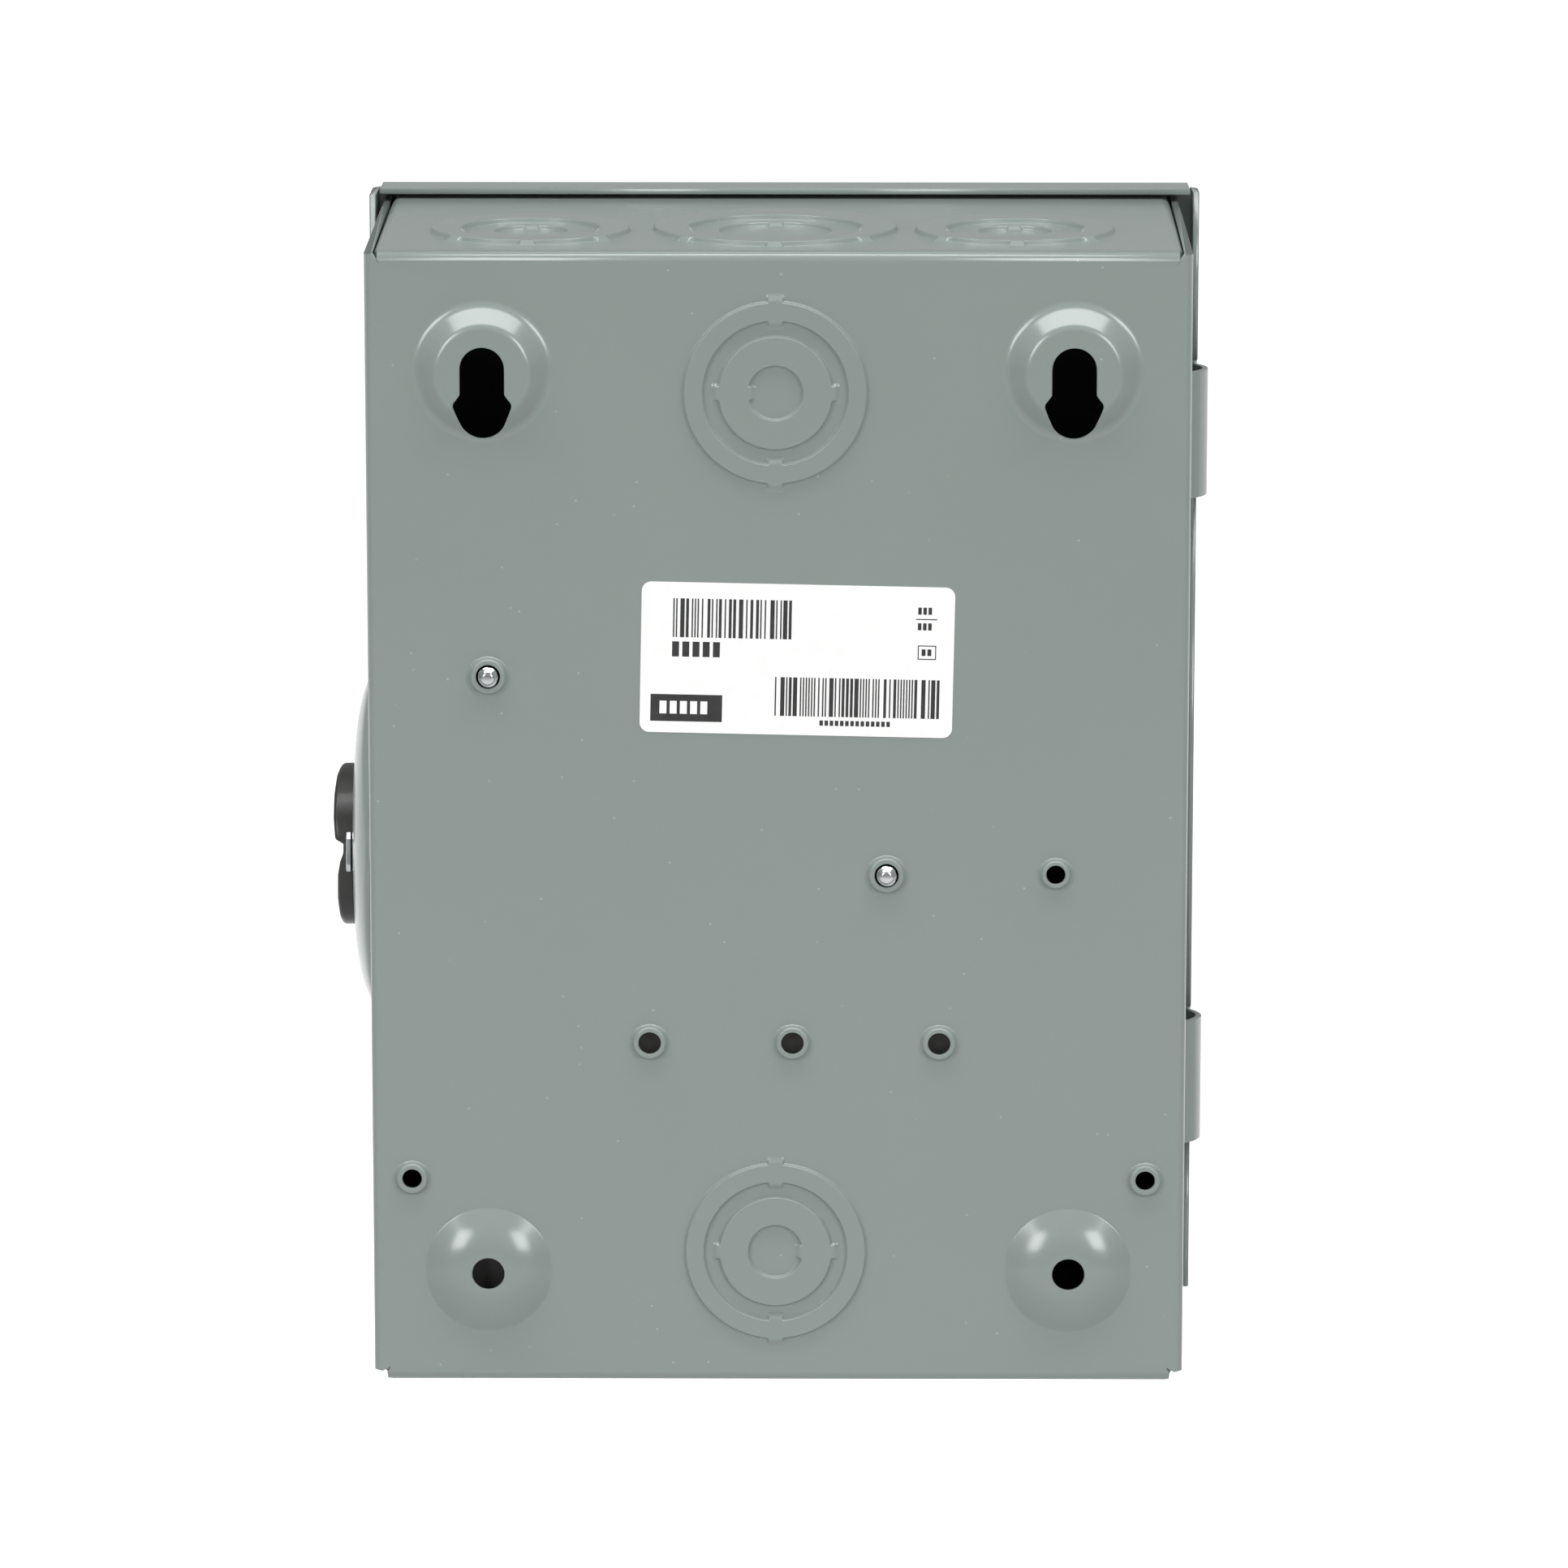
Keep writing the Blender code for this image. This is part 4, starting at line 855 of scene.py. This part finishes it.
def make_handle():
    """Moulded lever: outer face with rounded edges over a flat base."""
    outline = grip_outline(0.0)
    steps = 6
    insets = [EDGE_ROUND * (1.0 - math.cos(math.pi / 2 * step / steps)) for step in range(1, steps + 1)]
    loops = [grip_outline(inset) for inset in insets]
    lines = []
    for z in np.arange(-29.2, 4.4, 0.4):
        half = math.sqrt(max(GRIP_HALF ** 2 - (z - GRIP_Z) ** 2, 0.0))
        lines.append([(d, z) for d in np.linspace(PIVOT_D - half * 0.97, GRIP_END - 1.5, 30)])
    socket = circle((PIVOT_D, PIVOT_Z), SOCKET, 40)
    flat, faces = triangulate(outline, [socket], loops, lines)
    depth = np.clip(EDGE_ROUND - edge_distance(flat, outline), 0.0, EDGE_ROUND)
    top = grip_height(flat[:, 1]) - (EDGE_ROUND - np.sqrt(EDGE_ROUND ** 2 - depth ** 2))
    base = np.full(len(flat), HANDLE_BASE)
    spots = np.concatenate((np.column_stack((top, flat)), np.column_stack((base, flat))))
    count = len(flat)
    edges = open_edges(faces)
    polygons = faces.tolist() + (faces[:, ::-1] + count).tolist()
    start, end = edges[:, 0], edges[:, 1]
    polygons += np.column_stack((end, start, start + count, end + count)).tolist()
    mesh = smooth_mesh("handle_grip", world(leaned(spots)), polygons)
    piece = add_piece("handle_grip", mesh, "handle", "black_moulding", ["handle"])
    smooth_by_angle(piece, 40.0)


def smooth_by_angle(piece, degrees):
    """Marks edges sharper than the angle, so that the faces between them shade smoothly."""
    mesh = piece.data
    mesh.polygons.foreach_set("use_smooth", [True] * len(mesh.polygons))
    mesh.set_sharp_from_angle(angle=math.radians(degrees))


def rounded(piece, width):
    """Rounds a piece's edges with modifiers, which leave its own mesh as it is."""
    weld = piece.modifiers.new("weld", "WELD")
    weld.merge_threshold = 0.002 * MM
    bevel = piece.modifiers.new("rounding", "BEVEL")
    bevel.width = width * MM
    bevel.segments = 2
    bevel.limit_method = "ANGLE"
    bevel.angle_limit = math.radians(35.0)
    bevel.harden_normals = False
    bevel.use_clamp_overlap = True


# ---- labels ------------------------------------------------------------------------------------
LABEL_MIDDLE = (-3.92, 34.95)     # x and z of the label's middle
LABEL_SIZE = (65.0, 31.8)
LABEL_TILT = 1.15                 # degrees, clockwise when seen from the wall side
LABEL_ROUND = 2.0
PAPER_THICKNESS = 0.12
INK_THICKNESS = 0.02
LABEL_CODES = (                   # (left, top, width, height, number of bars, seed)
    (6.6, 3.4, 24.6, 8.2, 26, 3),
    (28.0, 19.6, 34.2, 8.2, 42, 8),
)
LABEL_ROWS = (                    # (left, top, width, height, number of blocks)
    (6.5, 12.5, 10.6, 3.2, 5),
    (37.4, 28.6, 15.0, 1.1, 14),
    (57.4, 4.3, 3.2, 1.5, 3),
    (57.4, 7.6, 3.2, 1.5, 3),
    (58.3, 13.1, 2.4, 1.4, 2),
)
LABEL_BARS = (                    # (left, top, width, height)
    (57.0, 6.7, 4.4, 0.22),
    (57.5, 12.3, 3.8, 0.2),
    (57.5, 15.1, 3.8, 0.2),
    (57.5, 12.3, 0.2, 3.0),
    (61.1, 12.3, 0.2, 3.0),
    (2.2, 23.7, 14.9, 5.7),
)
LABEL_REVERSED_ROW = (4.1, 25.1, 10.6, 2.7, 5)


def label_point(across, down):
    """Place in (x, z) of a spot on the label, measured from its upper left corner as it is read."""
    dx = across - LABEL_SIZE[0] / 2
    dz = LABEL_SIZE[1] / 2 - down
    tilt = math.radians(LABEL_TILT)
    return (LABEL_MIDDLE[0] - (dx * math.cos(tilt) + dz * math.sin(tilt)),
            LABEL_MIDDLE[1] + dz * math.cos(tilt) - dx * math.sin(tilt))


def plate_mesh(name, outlines, low, high):
    """Flat plates with (x, z) outlines; low and high run from the back sheet towards the wall."""
    points = []
    polygons = []
    for outline in outlines:
        first = len(points)
        count = len(outline)
        points += [(x, -high, z) for x, z in outline] + [(x, -low, z) for x, z in outline]
        polygons.append(list(range(first, first + count)))
        polygons.append([first + 2 * count - 1 - i for i in range(count)])
        for i in range(count):
            after = (i + 1) % count
            polygons.append([first + after, first + i, first + count + i, first + count + after])
    mesh = bpy.data.meshes.new(name)
    mesh.from_pydata([tuple(point) for point in world(points)], [], polygons)
    mesh.update()
    return mesh


def bar(left, top, width, height):
    """Rectangle on the back label, measured from the label's upper left corner."""
    right, bottom = left + width, top + height
    corners = ((left, bottom), (right, bottom), (right, top), (left, top))
    return [label_point(*corner) for corner in corners]


def stripes(left, top, width, height, count, seed):
    """Bars of uneven width, a generic pattern that encodes nothing."""
    numbers = np.random.default_rng(seed)
    widths = numbers.choice([1.0, 2.0, 3.0], count, p=[0.5, 0.3, 0.2])
    spaces = numbers.choice([1.0, 2.0, 3.0], count, p=[0.55, 0.3, 0.15])
    unit = width / (widths.sum() + spaces.sum() - spaces[-1])
    bars = []
    for thick, space in zip(widths, spaces):
        bars.append(bar(left, top, thick * unit, height))
        left += (thick + space) * unit
    return bars


def dashes(left, top, width, height, count, shape=bar):
    """A row of small blocks that stands in for a line of print."""
    pitch = width / count
    return [shape(left + index * pitch, top, pitch * 0.68, height) for index in range(count)]


COVER_PAPER = 0.3                 # thickness of the two labels of the cover
RATING_LEFT = -39.5
RATING_WIDTH = 75.0
TABLE_PITCH = 5.6                 # height of a row of the rating table


def cover_bar(left, top, width, height):
    """Rectangle on the cover, in (x, z), measured from its upper left corner as seen from the front."""
    return [(left, top), (left + width, top), (left + width, top - height), (left, top - height)]


def cover_frame(left, top, width, height, line):
    side = height - 2 * line
    return [
        cover_bar(left, top, width, line),
        cover_bar(left, top - height + line, width, line),
        cover_bar(left, top - line, line, side),
        cover_bar(left + width - line, top - line, line, side),
    ]


def cover_rows(left, top, pitch, blocks, block, height):
    """Rows of blocks below each other; blocks gives the number in each row."""
    rows = []
    for row, count in enumerate(blocks):
        rows += dashes(left, top - pitch * row, block * count, height, count, cover_bar)
    return rows


def rating_print():
    """Generic rating label: a header, some lines of text, a framed note and a table."""
    ink = [cover_bar(RATING_LEFT, 89.5, RATING_WIDTH, 9.0)]
    ink += cover_rows(RATING_LEFT, 76.0, 4.2, (30, 27, 31, 18), 1.25, 1.9)
    ink += cover_frame(4.0, 76.4, 31.5, 14.8, 0.5)
    ink += cover_rows(6.5, 74.0, 4.4, (12, 12, 12), 2.0, 1.9)
    table_top = 56.5
    ink += cover_frame(RATING_LEFT, table_top, RATING_WIDTH, 22.5, 0.5)
    for row in range(1, 4):
        ink.append(cover_bar(RATING_LEFT + 0.6, table_top - TABLE_PITCH * row, 73.8, 0.3))
    for left, width, count in ((-37.0, 15.0, 8), (-12.0, 11.0, 5), (14.0, 13.0, 6)):
        ink += cover_rows(left, table_top - 1.6, TABLE_PITCH, (count,) * 4, width / count, 2.0)
    return ink


def wiring_print():
    """Plain diagram of two poles, each with a switch and a fuse, over some lines of text."""
    ink = cover_frame(-57.0, 37.0, 74.0, 94.0, 0.6)
    for left in (-48.0, -12.0):
        ink += [cover_bar(left + 8.0, 24.0, 0.8, 12.0), cover_bar(left + 8.0, 0.0, 0.8, 34.0)]
        ink += cover_frame(left + 5.5, 12.0, 5.8, 12.0, 0.8)
        ink += cover_frame(left + 6.0, -12.0, 4.8, 16.0, 0.7)
        for top in (32.0, -38.0):
            ink += dashes(left, top, 16.0, 2.0, 7, cover_bar)
    return ink + cover_rows(-52.0, -44.0, 4.0, (40, 36, 24), 1.5, 1.8)


def make_cover_print():
    """Print of the rating label outside the cover and of the wiring label inside."""
    front = COVER_FACE + GAP + COVER_PAPER
    inner = COVER_FACE - SHEET - GAP - COVER_PAPER
    header = dashes(-36.5, 87.0, 34.0, 4.0, 9, cover_bar)
    layers = (
        ("cover_label_print", rating_print(), front, 1.0, "label_ink"),
        ("cover_label_reversed_print", header, front + INK_THICKNESS, 1.0, "label_paper"),
        ("wiring_label_print", wiring_print(), inner, -1.0, "label_ink"),
    )
    for name, outlines, base, outward, finish in layers:
        low, high = sorted((-base, -base - outward * INK_THICKNESS))
        add_piece(name, plate_mesh(name, outlines, low, high), "cover", finish)


def make_label():
    width, height = LABEL_SIZE
    corners = []
    for across, down, start in ((width - LABEL_ROUND, LABEL_ROUND, -90.0),
                                (width - LABEL_ROUND, height - LABEL_ROUND, 0.0),
                                (LABEL_ROUND, height - LABEL_ROUND, 90.0),
                                (LABEL_ROUND, LABEL_ROUND, 180.0)):
        corners += [label_point(x, y) for x, y in arc((across, down), LABEL_ROUND, start, start + 90.0, 8)]
    ink = [outline for code in LABEL_CODES for outline in stripes(*code)]
    ink += [outline for row in LABEL_ROWS for outline in dashes(*row)]
    ink += [bar(*row) for row in LABEL_BARS]
    layers = (
        ("label_sheet", [corners], PAPER_THICKNESS, "label_paper", ["back_label"]),
        ("label_print", ink, INK_THICKNESS, "label_ink", ()),
        ("label_reversed_print", dashes(*LABEL_REVERSED_ROW), INK_THICKNESS, "label_paper", ()),
    )
    low = 0.0
    for name, outlines, thickness, finish, replaced in layers:
        add_piece(name, plate_mesh(name, outlines, low, low + thickness), "box", finish, replaced)
        low += thickness


# ---- screws ------------------------------------------------------------------------------------
SCREW_PITCH = 0.79
SCREW_HEAD = 14.3                 # depth of the seat under the head
SCREW_TIP = ((-2.75, 0.85), (-2.7, 1.05), (-2.2, 1.55), (-1.9, 1.7))      # (depth, radius)
SCREW_HEAD_PROFILE = (            # (depth from the seat, radius); it ends inside the drive recess
    (0.0, 2.1),
    (0.0, 4.05),
    (0.15, 4.2),
    (1.3, 4.15),
    (2.0, 3.7),
    (2.45, 2.8),
    (2.6, 1.9),
    (2.6, 1.6),
    (1.3, 1.2),
)


def screw_mesh(name, centre, rows, segments=32):
    """Turned and threaded screw; rows are (depth, radius, thread depth)."""
    points = []
    for d, radius, thread in rows:
        for index in range(segments):
            angle = 2 * math.pi * index / segments
            phase = (d / SCREW_PITCH + index / segments) % 1.0
            crest = 1.0 - abs(2.0 * phase - 1.0)
            r = radius - thread * (1.0 - crest)
            points.append((centre[0] + r * math.cos(angle), d, centre[1] + r * math.sin(angle)))
    polygons = []
    for row in range(len(rows) - 1):
        near, far = row * segments, (row + 1) * segments
        for index in range(segments):
            after = (index + 1) % segments
            polygons.append([near + index, near + after, far + after, far + index])
    last = (len(rows) - 1) * segments
    polygons.append(list(range(segments - 1, -1, -1)))
    polygons.append(list(range(last, last + segments)))
    return smooth_mesh(name, world(points), polygons)


def make_base_screws():
    """Pan-head screws driven from inside; their rolled tips stand out of the collars behind."""
    rows = [(d, radius, 0.0) for d, radius in SCREW_TIP]
    rows += [(d, 2.12, 0.36) for d in np.arange(-1.7, SCREW_HEAD - 0.2, 0.11)]
    rows += [(SCREW_HEAD + d, radius, 0.0) for d, radius in SCREW_HEAD_PROFILE]
    for number, centre in enumerate(BASE_SCREWS, 1):
        node = f"base_screw_{number}"
        mesh = screw_mesh(f"{node}_threaded", centre, rows)
        piece = add_piece(f"{node}_threaded", mesh, "box", "zinc_screws", [node])
        smooth_by_angle(piece, 35.0)


# ---- carried-over CAD nodes --------------------------------------------------------------------
SOFT_SINGLES = ("switch_base", "rotor_cap_left", "rotor_cap_right", "crossbar", "neutral_bar", "drive_crank",
                "mechanism_bracket", "interlock_hook", "cover_hasp", "box_hasp", "lock_tab", "line_shield")
SOFT_PAIRS = ("line_lug", "load_lug", "line_jaw", "load_jaw", "load_clip", "blade")


def finish_nodes():
    """Gives every CAD node its procedural material, and the nodes named in the soft lists soft edges."""
    slots = {part["node"]: part["material_slot"] for part in frame["record"]["subparts"]}
    soft = {*SOFT_SINGLES, *(f"{name}_{number}" for name in SOFT_PAIRS for number in (1, 2))}
    for name, node in frame["nodes"].items():
        node.data.materials.clear()
        node.data.materials.append(FINISHES[slots[name]])
        if name in soft:
            rounded(node, 0.3)


# ---- stage, lights and camera ------------------------------------------------------------------
def stage_material():
    """Pale floor that glows on the far side of the object and stays plain beneath it."""
    shader = Shader("studio_white", (0.72, 0.72, 0.72), 0.9, specular=0.1)
    split = shader.nodes.new("ShaderNodeSeparateXYZ")
    shader.links.new(shader.place, split.inputs["Vector"])
    glow = shader.ramp(split.outputs["Y"], -0.75, -0.35, 0.9, 0.0)
    shader.surface.inputs["Emission Color"].default_value = (1.0, 1.0, 1.0, 1.0)
    shader.links.new(glow, shader.surface.inputs["Emission Strength"])
    shader.bump((shader.noise(3.0), 0.01))
    return shader.material


def make_stage():
    floor = CAD_BOX[0].z - 0.25
    size = 12.0
    mesh = bpy.data.meshes.new("studio_floor")
    corners = [(-size, -size, floor), (size, -size, floor), (size, size, floor), (-size, size, floor)]
    mesh.from_pydata(corners, [], [(0, 1, 2, 3)])
    mesh.materials.append(stage_material())
    plane = bpy.data.objects.new("studio_floor", mesh)
    bpy.context.collection.objects.link(plane)
    studio = bpy.data.worlds.new("studio")
    studio.use_nodes = True
    background = studio.node_tree.nodes["Background"]
    background.inputs["Color"].default_value = (1.0, 1.0, 1.0, 1.0)
    background.inputs["Strength"].default_value = 0.34
    bpy.context.scene.world = studio


def softbox(name, spot, aim, size, power):
    data = bpy.data.lights.new(name, "AREA")
    data.shape = "RECTANGLE"
    data.size, data.size_y = size
    data.energy = power
    lamp = bpy.data.objects.new(name, data)
    bpy.context.collection.objects.link(lamp)
    lamp.location = spot
    lamp.rotation_mode = "QUATERNION"
    lamp.rotation_quaternion = (Vector(aim) - Vector(spot)).to_track_quat("-Z", "Y")


def make_lights():
    middle = (0.0, -0.04, 0.0)
    softbox("overhead_softbox", (0.0, 0.3, 1.5), middle, (2.4, 0.45), 21.0)
    softbox("far_softbox", (0.0, -0.5, 1.45), middle, (2.4, 0.3), 2.5)
    softbox("left_softbox", (1.2, 1.45, 0.75), middle, (0.7, 0.9), 15.0)
    softbox("right_softbox", (-1.2, 1.45, 0.75), middle, (0.7, 0.9), 15.0)


def make_camera():
    data = bpy.data.cameras.new("camera")
    data.sensor_width = 36.0
    data.lens = 191.6
    data.clip_start = 0.1
    data.clip_end = 50.0
    camera = bpy.data.objects.new("camera", data)
    bpy.context.collection.objects.link(camera)
    camera.location = (-0.0122, 1.6977, 0.3623)
    right = Vector((-1.0, -0.0065, 0.0)).normalized()
    forward = Vector((0.0063, -0.9791, -0.2035)).normalized()
    up = right.cross(forward)
    camera.rotation_mode = "QUATERNION"
    camera.rotation_quaternion = Matrix((right, up, -forward)).transposed().to_quaternion()
    bpy.context.scene.camera = camera


def main():
    finish_nodes()
    make_enclosure()
    make_cover()
    make_handle()
    make_label()
    make_cover_print()
    make_base_screws()
    make_stage()
    make_lights()
    make_camera()
    bpy.context.scene.view_settings.view_transform = "Standard"


main()
